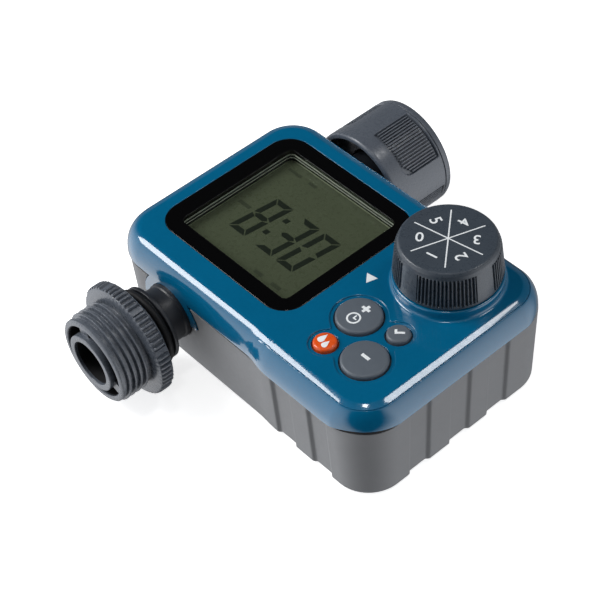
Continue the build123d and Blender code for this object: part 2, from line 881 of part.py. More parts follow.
# ---- output -------------------------------------------------------------------------------------
nodes = {
    "top_cover": top_cover(),
    "base_shell": base_shell(),
    "case_gasket": case_gasket(),
    "case_screws": case_screws(),
    "display_lens": display_lens(),
    "display_frame": display_frame(),
    "lcd_panel": lcd_panel(),
    "lcd_connector": lcd_connector(),
    "main_pcb": main_pcb(),
    "pcb_screws": pcb_screws(),
    "tact_switches": tact_switches(),
    "rotary_switch": rotary_switch(),
    "keypad_seal": keypad_seal(),
    "dial_shaft": dial_shaft(),
    "dial_knob": dial_knob(),
    "shaft_seal": shaft_seal(),
    "valve_body": valve_body(),
    "valve_ball": valve_ball(),
    "valve_seats": valve_seats(),
    "valve_stem": valve_stem(),
    "stem_seal": stem_seal(),
    "outlet_spigot": outlet_spigot(),
    "outlet_seal": outlet_seal(),
    "outlet_adaptor": outlet_adaptor(),
    "inlet_spigot": inlet_spigot(),
    "inlet_nut": inlet_nut(),
    "inlet_washer": inlet_washer(),
    "filter_screen": filter_screen(),
    "neck_seals": neck_seals(),
    "valve_gear": valve_gear(),
    "second_gear": second_gear(),
    "first_gear": first_gear(),
    "motor_pinion": motor_pinion(),
    "motor_shaft": motor_shaft(),
    "gear_axles": gear_axles(),
    "gearbox_plate": gearbox_plate(),
    "gear_cover": gear_cover(),
    "drive_motor": drive_motor(),
    "gearbox_screws": gearbox_screws(),
    "batteries": batteries(),
    "battery_springs": battery_springs(),
    "battery_plates": battery_plates(),
    "battery_door": battery_door(),
    "door_seal": door_seal(),
}
for name, (x, y, radius) in buttons.items():
    nodes[name] = button(x, y, radius)

os.makedirs("parts", exist_ok=True)
for name, shape in nodes.items():
    if isinstance(shape, list):
        shape = Compound(children=shape)
    export_step(shape, f"parts/{name}.step")
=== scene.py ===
import json
import math

import bmesh
import bpy
import numpy as np
from mathutils import Matrix, Vector


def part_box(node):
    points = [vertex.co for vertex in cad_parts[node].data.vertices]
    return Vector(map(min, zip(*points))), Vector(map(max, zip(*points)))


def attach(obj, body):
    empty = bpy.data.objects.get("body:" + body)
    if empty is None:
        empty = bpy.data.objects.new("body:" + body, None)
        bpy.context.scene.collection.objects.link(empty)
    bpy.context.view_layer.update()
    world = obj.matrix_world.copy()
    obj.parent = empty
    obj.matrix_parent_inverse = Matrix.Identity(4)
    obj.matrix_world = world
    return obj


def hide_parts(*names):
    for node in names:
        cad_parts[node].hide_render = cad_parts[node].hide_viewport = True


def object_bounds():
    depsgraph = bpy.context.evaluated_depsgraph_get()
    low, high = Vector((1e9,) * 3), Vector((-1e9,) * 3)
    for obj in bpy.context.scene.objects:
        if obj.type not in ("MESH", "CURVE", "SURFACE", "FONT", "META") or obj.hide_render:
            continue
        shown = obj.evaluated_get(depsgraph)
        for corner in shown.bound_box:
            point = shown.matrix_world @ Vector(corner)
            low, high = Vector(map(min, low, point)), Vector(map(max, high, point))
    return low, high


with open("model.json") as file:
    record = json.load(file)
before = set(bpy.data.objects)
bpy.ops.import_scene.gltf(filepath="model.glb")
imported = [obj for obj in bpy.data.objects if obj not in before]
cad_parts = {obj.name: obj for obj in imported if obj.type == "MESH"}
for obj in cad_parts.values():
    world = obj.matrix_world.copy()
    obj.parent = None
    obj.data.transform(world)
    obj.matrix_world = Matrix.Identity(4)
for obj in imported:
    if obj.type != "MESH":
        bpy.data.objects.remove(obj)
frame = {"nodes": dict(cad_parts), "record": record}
cad_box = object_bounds()
nodes = frame["nodes"]
record = frame["record"]
scene = bpy.context.scene
MM = 0.001

# ---- places, all read from the frame and turned into millimetres ---------------------------------


def box_mm(node):
    low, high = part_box(node)
    return np.array(low) / MM, np.array(high) / MM


def middle_mm(node):
    low, high = box_mm(node)
    return (low + high) / 2


cover_high = box_mm("top_cover")[1]
lens_low, lens_high = box_mm("display_lens")
frame_low, frame_high = box_mm("display_frame")
lcd_low, lcd_high = box_mm("lcd_panel")
knob_low, knob_high = box_mm("dial_knob")
door_low, door_high = box_mm("battery_door")
mounts = {mount["name"]: mount for mount in record["mounts"]}
water = np.array(mounts["outlet_thread"]["pos_m"]) / MM
water_x, water_z = water[0], water[2]
crest = mounts["outlet_thread"]["dims"]["r_mm"]
root = mounts["inlet_thread"]["dims"]["r_mm"]
seam_z = 24.7
end_seam_z = 26.2
seam_gap = 1.0
face_z = lens_high[2]
half_x = cover_high[0]
half_y = cover_high[1]
dial_x, dial_y = middle_mm("dial_knob")[:2]
button_nodes = {"plus_button": 6.3, "minus_button": 6.3, "ok_button": 3.2, "manual_button": 3.2}
button_centre = {node: middle_mm(node)[:2] for node in button_nodes}
button_bottom, button_top = (corner[2] for corner in box_mm("plus_button"))
ink = 0.012  # half the thickness of a printed mark

# ---- mesh helpers ---------------------------------------------------------------------------------


def smooth(value):
    value = np.clip(value, 0.0, 1.0)
    return value * value * (3 - 2 * value)


def soften(points, radius, closed=True, steps=4):
    """Round the corners of a 2-D polyline; radius is one number or one for each corner."""
    points = [np.array(p, float) for p in points]
    count = len(points)
    radii = [radius] * count if np.isscalar(radius) else list(radius)
    out = []
    for i, p in enumerate(points):
        if not closed and i in (0, count - 1):
            out.append(p)
            continue
        to_last = points[i - 1] - p
        to_next = points[(i + 1) % count] - p
        a, b = np.linalg.norm(to_last), np.linalg.norm(to_next)
        u, v = to_last / a, to_next / b
        turn = math.pi - math.acos(float(np.clip(u @ v, -1, 1)))
        if turn < 0.09 or radii[i] < 1e-4:
            out.append(p)
            continue
        reach = min(radii[i] * math.tan(turn / 2), 0.47 * a, 0.47 * b)
        real = reach / math.tan(turn / 2)
        bisector = (u + v) / np.linalg.norm(u + v)
        centre = p + bisector * math.hypot(reach, real)
        start, end = p + u * reach - centre, p + v * reach - centre
        first = math.atan2(start[1], start[0])
        swing = (math.atan2(end[1], end[0]) - first + math.pi) % (2 * math.pi) - math.pi
        for k in range(steps + 1):
            angle = first + swing * k / steps
            out.append(centre + real * np.array([math.cos(angle), math.sin(angle)]))
    return np.array(out)


def loft(rings, cap_first=False, cap_last=False, join=False):
    """Quads through a stack of closed rings, each with the same number of points."""
    rings = np.array(rings, float)
    count, size = rings.shape[:2]
    index = np.arange(count * size).reshape(count, size)
    if join:
        index = np.vstack([index, index[:1]])
    ahead = np.roll(index, -1, axis=1)
    faces = np.stack([index[:-1], ahead[:-1], ahead[1:], index[1:]], -1).reshape(-1, 4).tolist()
    if cap_first:
        faces.append(index[0][::-1].tolist())
    if cap_last:
        faces.append(index[-1].tolist())
    return rings.reshape(-1, 3), faces


def round_angles(count):
    return np.linspace(0, 2 * math.pi, count, endpoint=False)


def quarter(steps):
    """Angles of a quarter turn, from 0 to 90 degrees."""
    return [math.pi / 2 * k / steps for k in range(steps + 1)]


def at_height(points, z):
    return np.column_stack([points, np.full(len(points), z)])


def outward_normals(points):
    tangent = np.roll(points, -1, axis=0) - np.roll(points, 1, axis=0)
    tangent /= np.linalg.norm(tangent, axis=1)[:, None]
    return np.stack([tangent[:, 1], -tangent[:, 0]], -1)


def upright_ring(x, y, angles, radius, z):
    """Level ring round x, y; radius is one number or one for each angle."""
    return np.stack([x + radius * np.cos(angles), y + radius * np.sin(angles), np.full(len(angles), z)], -1)


def water_ring(angles, y, radius):
    """Ring about the water passage; radius is one number or one for each angle."""
    across, upward = radius * np.cos(angles), radius * np.sin(angles)
    return np.stack([water_x + across, np.full(len(angles), y), water_z + upward], -1)


def upright_turn(profile, x, y, count=128, join=True):
    """Solid of revolution about an upright axis; profile points are (radius, height)."""
    angles = round_angles(count)
    rings = [upright_ring(x, y, angles, radius, z) for radius, z in profile]
    return loft(rings, cap_first=not join, cap_last=not join, join=join)


def upright_plug(radius, low, high, x, y, count):
    return upright_turn([(radius, low), (radius, high)], x, y, count, join=False)


def water_turn(profile, count=144, join=True, swell=None):
    """Solid of revolution about the water passage; profile points are (y, radius).
    swell(angles, y, radius) may give each ring its own radius all the way round."""
    angles = round_angles(count)
    rings = [water_ring(angles, y, swell(angles, y, radius) if swell else radius) for y, radius in profile]
    return loft(rings, cap_first=not join, cap_last=not join, join=join)


def slab(outline, low, high, edge=0.0):
    """Upright prism on a closed outline, with its top and bottom edges rounded by moving them in."""
    outline = np.array(outline, float)
    normal = outward_normals(outline)
    levels = [(0, low), (0, high)]
    if edge > 0:
        levels = [(edge * (1 - math.sin(a)), low + edge * (1 - math.cos(a))) for a in quarter(3)]
        levels += [(edge * (1 - math.cos(a)), high - edge * (1 - math.sin(a))) for a in quarter(3)]
    return loft([at_height(outline - normal * inset, z) for inset, z in levels], True, True)


def rounded_box(x0, x1, y0, y1, radius, steps=8):
    return soften([(x0, y0), (x1, y0), (x1, y1), (x0, y1)], radius, steps=steps)


def grown_box(low, high, grow, radius, steps=8):
    """Rounded rectangle round a box, grown by a margin on every side."""
    return rounded_box(low[0] - grow, high[0] + grow, low[1] - grow, high[1] + grow, radius, steps)


def circle(x, y, radius, count=96):
    angles = round_angles(count)
    return np.stack([x + radius * np.cos(angles), y + radius * np.sin(angles)], -1)


def joined(parts):
    verts, faces = [], []
    for v, f in parts:
        start = len(verts)
        verts.extend(np.asarray(v, float).tolist())
        faces.extend([[i + start for i in face] for face in f])
    return verts, faces


def make(name, parts, sharp=38, weight=True):
    """One object from a list of (points in mm, faces)."""
    verts, faces = joined(parts)
    mesh = bpy.data.meshes.new(name)
    mesh.from_pydata([[c * MM for c in v] for v in verts], [], faces)
    work = bmesh.new()
    work.from_mesh(mesh)
    bmesh.ops.recalc_face_normals(work, faces=work.faces)
    work.to_mesh(mesh)
    work.free()
    obj = bpy.data.objects.new(name, mesh)
    scene.collection.objects.link(obj)
    shade(obj, sharp, weight)
    return obj


def shade(obj, sharp=38, weight=True):
    obj.data.polygons.foreach_set("use_smooth", [True] * len(obj.data.polygons))
    obj.data.set_sharp_from_angle(angle=math.radians(sharp))
    if weight and "flats" not in obj.modifiers:
        flats = obj.modifiers.new("flats", "WEIGHTED_NORMAL")
        flats.keep_sharp = True
        flats.weight = 80


def carve(obj, operations, sharp=38):
    """Exact booleans: operations is a list of (mode, list of parts)."""
    for modifier in list(obj.modifiers):
        obj.modifiers.remove(modifier)
    for mode, parts in operations:
        tool = make(obj.name + "_tool", parts, weight=False)
        step = obj.modifiers.new("step", "BOOLEAN")
        step.operation = mode
        step.solver = "EXACT"
        step.object = tool
        graph = bpy.context.evaluated_depsgraph_get()
        result = bpy.data.meshes.new_from_object(obj.evaluated_get(graph))
        obj.modifiers.clear()
        old = obj.data
        obj.data = result
        bpy.data.meshes.remove(old)
        bpy.data.objects.remove(tool)
    shade(obj, sharp)
    return obj


def mesh_of(curve):
    """Filled mesh of a curve or a text."""
    source = bpy.data.objects.new("source", curve)
    scene.collection.objects.link(source)
    graph = bpy.context.evaluated_depsgraph_get()
    mesh = bpy.data.meshes.new_from_object(source.evaluated_get(graph))
    bpy.data.objects.remove(source)
    return mesh


def laid_down(name, mesh, height, lift):
    """Object from a flat mesh, laid on the surface height(x, y) and lifted a little."""
    for vert in mesh.vertices:
        vert.co.z += (height(vert.co.x / MM, vert.co.y / MM) + lift) * MM
    mesh.name = name
    obj = bpy.data.objects.new(name, mesh)
    scene.collection.objects.link(obj)
    shade(obj, 50, False)
    return obj


def flat_shape(name, loops, height, lift, cells):
    """Thin printed mark from closed 2-D loops (an even-odd fill), cut into cells that follow the surface."""
    curve = bpy.data.curves.new(name, "CURVE")
    curve.dimensions = "2D"
    curve.fill_mode = "BOTH"
    curve.extrude = ink * MM
    for loop in loops:
        spline = curve.splines.new("POLY")
        spline.points.add(len(loop) - 1)
        for point, (x, y) in zip(spline.points, loop):
            point.co = (x * MM, y * MM, 0, 1)
        spline.use_cyclic_u = True
    mesh = mesh_of(curve)
    work = bmesh.new()
    work.from_mesh(mesh)
    bmesh.ops.triangulate(work, faces=work.faces)
    for _ in range(3):
        long_edges = [e for e in work.edges if e.calc_length() > cells * MM]
        if not long_edges:
            break
        bmesh.ops.subdivide_edges(work, edges=long_edges, cuts=1)
        bmesh.ops.triangulate(work, faces=work.faces)
    work.to_mesh(mesh)
    work.free()
    return laid_down(name, mesh, height, lift)


def text_shape(name, text, size, x, y, turn, height, lift, heavy):
    """Printed figure, turned by an angle in degrees and centred on x, y."""
    curve = bpy.data.curves.new(name, "FONT")
    curve.body = text
    curve.size = size * MM
    curve.align_x = "CENTER"
    curve.align_y = "CENTER"
    curve.extrude = ink * MM
    curve.offset = heavy * MM
    mesh = mesh_of(curve)
    spread = np.array([v.co for v in mesh.vertices])
    shift = (spread.min(0) + spread.max(0)) / 2
    place = Matrix.Translation((x * MM, y * MM, 0)) @ Matrix.Rotation(math.radians(turn), 4, "Z")
    mesh.transform(place @ Matrix.Translation((-shift[0], -shift[1], 0)))
    return laid_down(name, mesh, height, lift)


def wear(obj, material, body, replaced=()):
    """Give a piece its finish, its body and the CAD nodes that it stands for."""
    obj.data.materials.clear()
    obj.data.materials.append(material)
    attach(obj, body)
    if replaced:
        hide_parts(*replaced)
    return obj


def piece(name, parts, material, slot, replaced=(), body="case", sharp=38):
    return wear(make(name, parts, sharp), material, body, replaced)


def level(z):
    """Flat surface for printed marks."""
    return lambda x, y: z


# ---- materials ------------------------------------------------------------------------------------


def srgb(red, green, blue):
    def linear(c):
        c /= 255
        return c / 12.92 if c <= 0.04045 else ((c + 0.055) / 1.055) ** 2.4

    return (linear(red), linear(green), linear(blue), 1.0)


def feed(tree, node, inputs):
    """Give each input of a node a value or another node's output."""
    for name, value in inputs.items():
        if isinstance(value, bpy.types.NodeSocket):
            tree.links.new(value, node.inputs[name])
        else:
            node.inputs[name].default_value = value


def add_node(tree, kind, inputs=None, **settings):
    node = tree.nodes.new("ShaderNode" + kind)
    for key, value in settings.items():
        setattr(node, key, value)
    feed(tree, node, inputs or {})
    return node


def noise(tree, place, size, detail, roughness=0.5):
    """Noise whose patches are about size mm across."""
    inputs = {"Vector": place, "Scale": 1 / (size * MM), "Detail": detail, "Roughness": roughness}
    return add_node(tree, "TexNoise", inputs).outputs["Fac"]


def remap(tree, value, low, high, to_low=0.0, to_high=1.0, kind="LINEAR"):
    inputs = {"Value": value, "From Min": low, "From Max": high, "To Min": to_low, "To Max": to_high}
    return add_node(tree, "MapRange", inputs, interpolation_type=kind).outputs["Result"]


def arithmetic(tree, operation, a, b):
    return add_node(tree, "Math", {0: a, 1: b}, operation=operation).outputs[0]


def dot_product(tree, a, b):
    return add_node(tree, "VectorMath", {0: a, 1: b}, operation="DOT_PRODUCT").outputs["Value"]


def blended(tree, share, a, b):
    return add_node(tree, "Mix", {"Factor": share, "A": a, "B": b}, data_type="RGBA").outputs["Result"]


def rounded_normal(tree, radius):
    return add_node(tree, "Bevel", {"Radius": radius * MM}, samples=4).outputs["Normal"]


def finish(
    name,
    colour,
    rough=0.4,
    grain=0.35,
    bump=0.1,
    vary=0.06,
    edge=0.15,
    metal=0.0,
    coat=0.0,
    coat_rough=0.05,
    specular=0.5,
    rough_vary=0.08,
    emission=0.0,
):
    """Procedural finish. grain is the texture's size in mm, bump its depth, vary the colour change,
    and edge the lightening of worn edges."""
    material = bpy.data.materials.new(name)
    material.use_nodes = True
    tree = material.node_tree
    place = add_node(tree, "TexCoord").outputs["Object"]
    fine = noise(tree, place, grain, 3, 0.55)
    broad = noise(tree, place, 14, 4, 0.6)
    specks = noise(tree, place, 1.3, 5, 0.7)
    cloud = remap(tree, arithmetic(tree, "ADD", broad, specks), 0.7, 1.3)
    dark = [c * (1 - vary) for c in colour[:3]] + [1]
    light = [min(1, c * (1 + vary)) for c in colour[:3]] + [1]
    rubbed = [min(1, c * 1.8 + 0.12) for c in colour[:3]] + [1]
    soft_normal = rounded_normal(tree, 0.12)
    true_normal = add_node(tree, "NewGeometry").outputs["Normal"]
    flatness = dot_product(tree, rounded_normal(tree, 0.35), true_normal)
    worn = arithmetic(tree, "MULTIPLY", remap(tree, flatness, 0.995, 0.85, 0.0, edge), specks)
    paint = blended(tree, worn, blended(tree, cloud, dark, light), rubbed)
    relief_inputs = {"Strength": bump, "Distance": 0.05 * MM, "Height": fine, "Normal": soft_normal}
    inputs = {
        "Base Color": paint,
        "Roughness": remap(tree, specks, 0.3, 0.7, max(0.02, rough - rough_vary), rough + rough_vary),
        "Normal": add_node(tree, "Bump", relief_inputs).outputs["Normal"],
        "Metallic": metal,
        "Specular IOR Level": specular,
        "Coat Weight": coat,
        "Coat Roughness": coat_rough,
    }
    if coat > 0:
        inputs["Coat Normal"] = soft_normal
    if emission > 0:
        inputs["Emission Color"] = paint
        inputs["Emission Strength"] = emission
    feed(tree, tree.nodes["Principled BSDF"], inputs)
    return material


def clear_window():
    """Clear acrylic: see-through, with a reflection that grows towards grazing angles and fine dust."""
    material = bpy.data.materials.new("clear_acrylic")
    material.use_nodes = True
    tree = material.node_tree
    tree.nodes.remove(tree.nodes["Principled BSDF"])
    dust = noise(tree, add_node(tree, "TexCoord").outputs["Object"], 0.9, 6)
    relief_inputs = {"Strength": 0.02, "Distance": 0.02 * MM, "Height": dust}
    mirror_inputs = {
        "Roughness": remap(tree, dust, 0.45, 0.8, 0.03, 0.16),
        "Normal": add_node(tree, "Bump", relief_inputs).outputs["Normal"],
    }
    mirror = add_node(tree, "BsdfGlossy", mirror_inputs).outputs["BSDF"]
    tint = blended(tree, dust, (0.93, 0.95, 0.92, 1), (0.86, 0.89, 0.85, 1))
    through = add_node(tree, "BsdfTransparent", {"Color": tint}).outputs["BSDF"]
    outer = arithmetic(tree, "SUBTRACT", 1.0, add_node(tree, "NewGeometry").outputs["Backfacing"])
    share = arithmetic(tree, "MULTIPLY", add_node(tree, "Fresnel", {"IOR": 1.45}).outputs["Fac"], outer)
    mix = add_node(tree, "MixShader", {0: share, 1: through, 2: mirror})
    feed(tree, tree.nodes["Material Output"], {"Surface": mix.outputs["Shader"]})
    return material


gloss = {"coat": 1.0, "coat_rough": 0.03, "specular": 0.35}
deep_gloss = {"coat": 0.6, "coat_rough": 0.02, "specular": 0.3, "rough_vary": 0.02}
blue = finish("blue_gloss", srgb(0, 101, 142), 0.16, 0.5, 0.02, 0.05, 0.12, **gloss)
grey = finish("grey_textured", srgb(126, 127, 129), 0.5, 0.22, 0.35, 0.05, 0.2, specular=0.4)
fitting = finish("slate_satin", srgb(88, 94, 103), 0.28, 0.3, 0.12, 0.06, 0.35, specular=0.6)
neck_grey = finish("neck_dark", srgb(34, 37, 43), 0.4, 0.3, 0.15, 0.06, 0.2)
slate = finish("dial_slate", srgb(66, 74, 83), 0.3, 0.3, 0.12, 0.05, 0.3)
rubber = finish("black_rubber", srgb(24, 24, 26), 0.6, 0.25, 0.3, 0.1, 0.1, specular=0.3)
black = finish("black_gloss", srgb(5, 5, 6), 0.08, 0.6, 0.01, 0.1, 0.0, **deep_gloss)
dark_plastic = finish("black_satin", srgb(20, 20, 22), 0.4, 0.3, 0.1, 0.1, 0.15)
steel = finish("plated_steel", srgb(168, 168, 172), 0.3, 0.3, 0.1, 0.06, 0.2, metal=1.0)
nickel = finish("nickel", srgb(186, 182, 172), 0.26, 0.3, 0.08, 0.06, 0.2, metal=1.0)
brass = finish("turned_brass", srgb(190, 152, 84), 0.28, 0.3, 0.08, 0.06, 0.2, metal=1.0)
mirror_steel = finish("ball_chrome", srgb(205, 205, 208), 0.08, 0.5, 0.02, 0.03, 0.05, metal=1.0)
natural = finish("natural_plastic", srgb(214, 208, 192), 0.5, 0.3, 0.2, 0.05, 0.1)
white = finish("white_plastic", srgb(226, 226, 220), 0.42, 0.3, 0.12, 0.04, 0.1)
board = finish("board_green", srgb(24, 84, 46), 0.3, 0.4, 0.1, 0.12, 0.3, coat=0.4)
jacket = finish("cell_jacket", srgb(58, 62, 70), 0.3, 0.5, 0.03, 0.08, 0.2, coat=0.5)
button_grey = finish("button_grey", srgb(96, 104, 113), 0.4, 0.28, 0.2, 0.05, 0.25)
orange = finish("button_orange", srgb(240, 92, 30), 0.3, 0.3, 0.1, 0.05, 0.25, coat=0.4)
# White print with a faint glow (emission 0.12): the print's own white plus painted light.
print_white_glow = finish("printed_white_glow", srgb(236, 240, 242), 0.5, 0.2, 0.15, 0.03, 0.0, emission=0.12)
lcd = finish("lcd_ground", srgb(96, 100, 84), 0.3, 0.25, 0.05, 0.04, 0.05, specular=0.3)
lcd_edge = finish("lcd_edge", srgb(176, 180, 158), 0.3, 0.25, 0.05, 0.05, 0.1)
# Pale paint for the strips on the window's walls: painted highlight.
edge_highlight = finish("edge_highlight", srgb(206, 208, 200), 0.3, 0.25, 0.05, 0.05, 0.1)
segment = finish("lcd_segment", srgb(42, 47, 42), 0.35, 0.25, 0.05, 0.06, 0.0, specular=0.3)
segment_faint = finish("lcd_segment_faint", srgb(76, 80, 68), 0.35, 0.25, 0.05, 0.06, 0.0, specular=0.3)
window = clear_window()

slot_finish = {
    "blue_cover": blue,
    "grey_case": grey,
    "grey_fitting": fitting,
    "black_rubber": rubber,
    "steel": steel,
    "clear_lens": window,
    "black_plastic": dark_plastic,
    "lcd_glass": lcd,
    "circuit_board": board,
    "slate_plastic": slate,
    "natural_plastic": natural,
    "chromed_ball": mirror_steel,
    "white_plastic": white,
    "brass_gear": brass,
    "steel_can": steel,
    "cell_jacket": jacket,
    "nickel": nickel,
    "grey_button": button_grey,
    "orange_button": orange,
}
slot_of = {part["node"]: part["material_slot"] for part in record["subparts"]}
for node, obj in nodes.items():
    obj.data.materials.clear()
    obj.data.materials.append(slot_finish[slot_of[node]])
    weld = obj.modifiers.new("weld", "WELD")
    weld.merge_threshold = 0.002 * MM
    shade(obj, 30, False)

# ---- case outline ---------------------------------------------------------------------------------
# The display's half of the case is a little narrower than the dial's half.
waist = 1.2
far_waist = 0.5
waist_start, waist_end = 8, 13
waist_radius = 20
corner_radius = 12.5


def case_outline(spacing=0.3):
    """Points and outward normals of the case's widest line, anticlockwise."""
    narrow = half_y - waist
    far = half_y - far_waist
    corners = [
        (-half_x, -narrow, corner_radius),
        (waist_start, -narrow, waist_radius),
        (waist_end, -half_y, waist_radius),
        (half_x, -half_y, corner_radius),
        (half_x, half_y, corner_radius),
        (waist_end, half_y, waist_radius),
        (waist_start, far, waist_radius),
        (-half_x, far, corner_radius),
    ]
    raw = soften([c[:2] for c in corners], [c[2] for c in corners], steps=64)
    step = np.linalg.norm(np.roll(raw, -1, axis=0) - raw, axis=1)
    along = np.concatenate([[0], np.cumsum(step)])
    closed = np.vstack([raw, raw[:1]])
    count = int(along[-1] / spacing)
    at = np.linspace(0, along[-1], count, endpoint=False)
    points = np.stack([np.interp(at, along, closed[:, k]) for k in (0, 1)], -1)
    return points, outward_normals(points)


outline, outward = case_outline()
right_end_x = 30
corner_fall = 2.5
turning = np.clip(np.abs(outward).sum(1) - 1, 0, None)
corner_ease = np.where(outline[:, 0] > right_end_x, corner_fall * turning, 0)


def case_ring(inset, z):
    inset = np.broadcast_to(inset, (len(outline),))
    return at_height(outline - outward * inset[:, None], z)


rise_start, rise_length = 36, 10
block_bottom = -3
block_x, block_y = 70, 60


def below_seam(drop):
    """Block below the parting line, lowered by a drop, that leaves the arches over the water necks."""
    radius = 11.0 + drop / 3
    level = seam_z - drop
    start = math.asin((level - water_z) / radius)
    arch = [*np.linspace(math.pi - start, math.pi, 14), *np.linspace(0, start, 14)]
    points = [(-block_x, block_bottom), (-block_x, level)]
    points += [(water_x + radius * math.cos(a), water_z + radius * math.sin(a)) for a in arch]
    for x in np.linspace(rise_start, rise_start + rise_length, 12):
        points.append((x, level + (end_seam_z - seam_z) * smooth((x - rise_start) / rise_length)))
    points += [(block_x, end_seam_z - drop), (block_x, block_bottom)]
    return loft([[(x, y, z) for x, z in points] for y in (-block_y, block_y)], True, True)


# ---- cover ----------------------------------------------------------------------------------------
flank = 9.5
flank_foot = 0.25
flank_steps = 21
wall = 2.0
ceiling_round = 5.0
crease_z = face_z - 0.8
crease_inset = flank - math.sqrt(flank**2 - (crease_z - seam_z) ** 2)
crease_groove = ((0.02, 0.01), (0.09, -0.16), (0.22, -0.17), (0.29, 0.09))
crown_run, crown_rise, crown_bend = 1.9, 0.71, 1.18
crown_steps = 12
inner_top = face_z - 2.0
roll_end_x, roll_blend = 12.5, 4
roll_inset = 4.9


def cover_profile():
    """(inset, height) from the inner ceiling, down inside, round the rim and up over the flank."""
    profile = []
    for a in quarter(8):
        out, down = ceiling_round * (1 - math.sin(a)), ceiling_round * (1 - math.cos(a))
        profile.append((wall + out, inner_top - down))
    foot = seam_z + flank_foot
    profile += [(wall, water_z), (0.0, water_z), (0.0, seam_z - 2), (0.0, foot)]
    for k in range(1, flank_steps + 1):
        z = foot + (crease_z - seam_z - flank_foot) * k / flank_steps
        profile.append((flank - math.sqrt(flank**2 - (z - seam_z) ** 2), z))
    profile += [(crease_inset + out, crease_z + up) for out, up in crease_groove]
    crown_out, crown_up = crease_groove[-1]
    for k in range(1, crown_steps + 1):
        t = k / crown_steps
        lift = crown_rise * (1 - (1 - t) ** crown_bend)
        profile.append((crease_inset + crown_out + crown_run * t, crease_z + crown_up + lift))
    return profile


def rolled_profile():
    """The same number of points as cover_profile, but the flank rolls over onto the face without a crease."""
    sharp = cover_profile()
    start = len(quarter(8)) + 4
    count = len(sharp) - start
    rolled = sharp[:start]
    for k in range(count):
        a = math.pi / 2 * (k + 1) / count
        rise = (face_z - seam_z - flank_foot) * math.sin(a)
        rolled.append((roll_inset * (1 - math.cos(a)), seam_z + flank_foot + rise))
    return rolled


near_side = np.clip(-outward[:, 1] * 1.5 - 0.2, 0, 1)
roll = np.clip((roll_end_x - outline[:, 0]) / roll_blend, 0, 1) * near_side


def cover_ring(sharp, rolled):
    """Ring of the cover; its two right corners are rounder towards the parting line."""
    low = min(1.0, max(0.0, (crease_z - sharp[1]) / (crease_z - seam_z)))
    inset = sharp[0] + (rolled[0] - sharp[0]) * roll + corner_ease * low
    level = sharp[1] + (rolled[1] - sharp[1]) * roll
    return np.column_stack([outline - outward * inset[:, None], level])


def button_well(grow, count=240):
    """Outline that follows the four buttons at an even distance."""
    centres = np.array(list(button_centre.values()))
    radii = np.array(list(button_nodes.values())) + grow
    mid = centres.mean(0)
    blend_width = 0.9
    points = []
    for angle in round_angles(count):
        way = np.array([math.cos(angle), math.sin(angle)])
        near, far = 0.0, 30.0
        for _ in range(40):
            at = (near + far) / 2
            distance = np.linalg.norm(mid + way * at - centres, axis=1) - radii
            blend = -math.log(np.exp(-distance / blend_width).sum()) * blend_width
            near, far = (at, far) if blend < 0 else (near, at)
        points.append(mid + way * near)
    return np.array(points)


def flared_hole(outline_points, low, high, flare):
    """Cutter whose mouth widens in a round lip at height high."""
    outline_points = np.array(outline_points)
    normal = outward_normals(outline_points)
    levels = [(0, low), (0, high - flare)]
    for a in quarter(5)[1:]:
        levels.append((flare * (1 - math.cos(a)), high - flare + flare * math.sin(a)))
    levels.append((flare * 1.3, high + 1.0))
    return loft([at_height(outline_points + normal * out, z) for out, z in levels], True, True)


boss_radius = 14.95
boss_top = cover_high[2]
boss_fillet = 0.9
boss_round = 0.6
well_depth = 0.35
hole_bottom = 28


def boss():
    """Raised round seat of the dial, with a fillet where it meets the face."""
    profile = [(boss_radius + 0.95, inner_top + 0.2), (boss_radius + 0.95, face_z - 0.04)]
    for a in quarter(8):
        out, up = boss_fillet * math.sin(a), boss_fillet * math.cos(a)
        profile.append((boss_radius + boss_fillet - out, face_z + boss_fillet - up))
    for a in quarter(6):
        out, up = boss_round * math.cos(a), boss_round * math.sin(a)
        profile.append((boss_radius - boss_round + out, boss_top - boss_round + up))
    return upright_turn(profile, dial_x, dial_y, 192, join=False)


def neck_bores():
    """Holes for the two water necks, through both ends of the case."""
    return [water_turn([(low, 8.35), (low + 20, 8.35)], 96, join=False) for low in (-45, 25)]


def button_hole(node):
    outline_points = circle(*button_centre[node], button_nodes[node] + 0.35)
    return flared_hole(outline_points, hole_bottom, face_z - well_depth, 0.2)


cover_rings = [cover_ring(*pair) for pair in zip(cover_profile(), rolled_profile())]
cover = make("cover_shell", [loft(cover_rings, True, True)])
lens_recess = flared_hole(grown_box(lens_low, lens_high, 0.1, 7.2, 16), lens_low[2], face_z, 0.06)
display_hole = slab(grown_box(frame_low, frame_high, 0.1, 3.0), hole_bottom, face_z - 1.0)
spindle_hole = upright_plug(3.3, hole_bottom, 37, dial_x, dial_y, 64)
carve(
    cover,
    [
        ("UNION", [boss()]),
        ("DIFFERENCE", [below_seam(0.0)]),
        ("DIFFERENCE", [flared_hole(button_well(1.3), face_z - well_depth, face_z, 0.25)]),
        ("DIFFERENCE", [lens_recess, *neck_bores()]),
        ("DIFFERENCE", [*map(button_hole, button_nodes), display_hole, spindle_hole]),
    ],
)
wear(cover, blue, "case", ["top_cover"])

# ---- base -----------------------------------------------------------------------------------------
base_top = end_seam_z - seam_gap
base_waist = 0.5
draft = math.tan(math.radians(2.1))
base_wall, base_floor = 3.3, 2.2
rim_bevel = 0.15
foot_round = 1.1
grip_depth = 0.8
grip_rows_y = (-15.0, -0.5, 13.4)
grip_rows_x = (19.1, 33.0)
steep, gentle = 0.8, 1.3


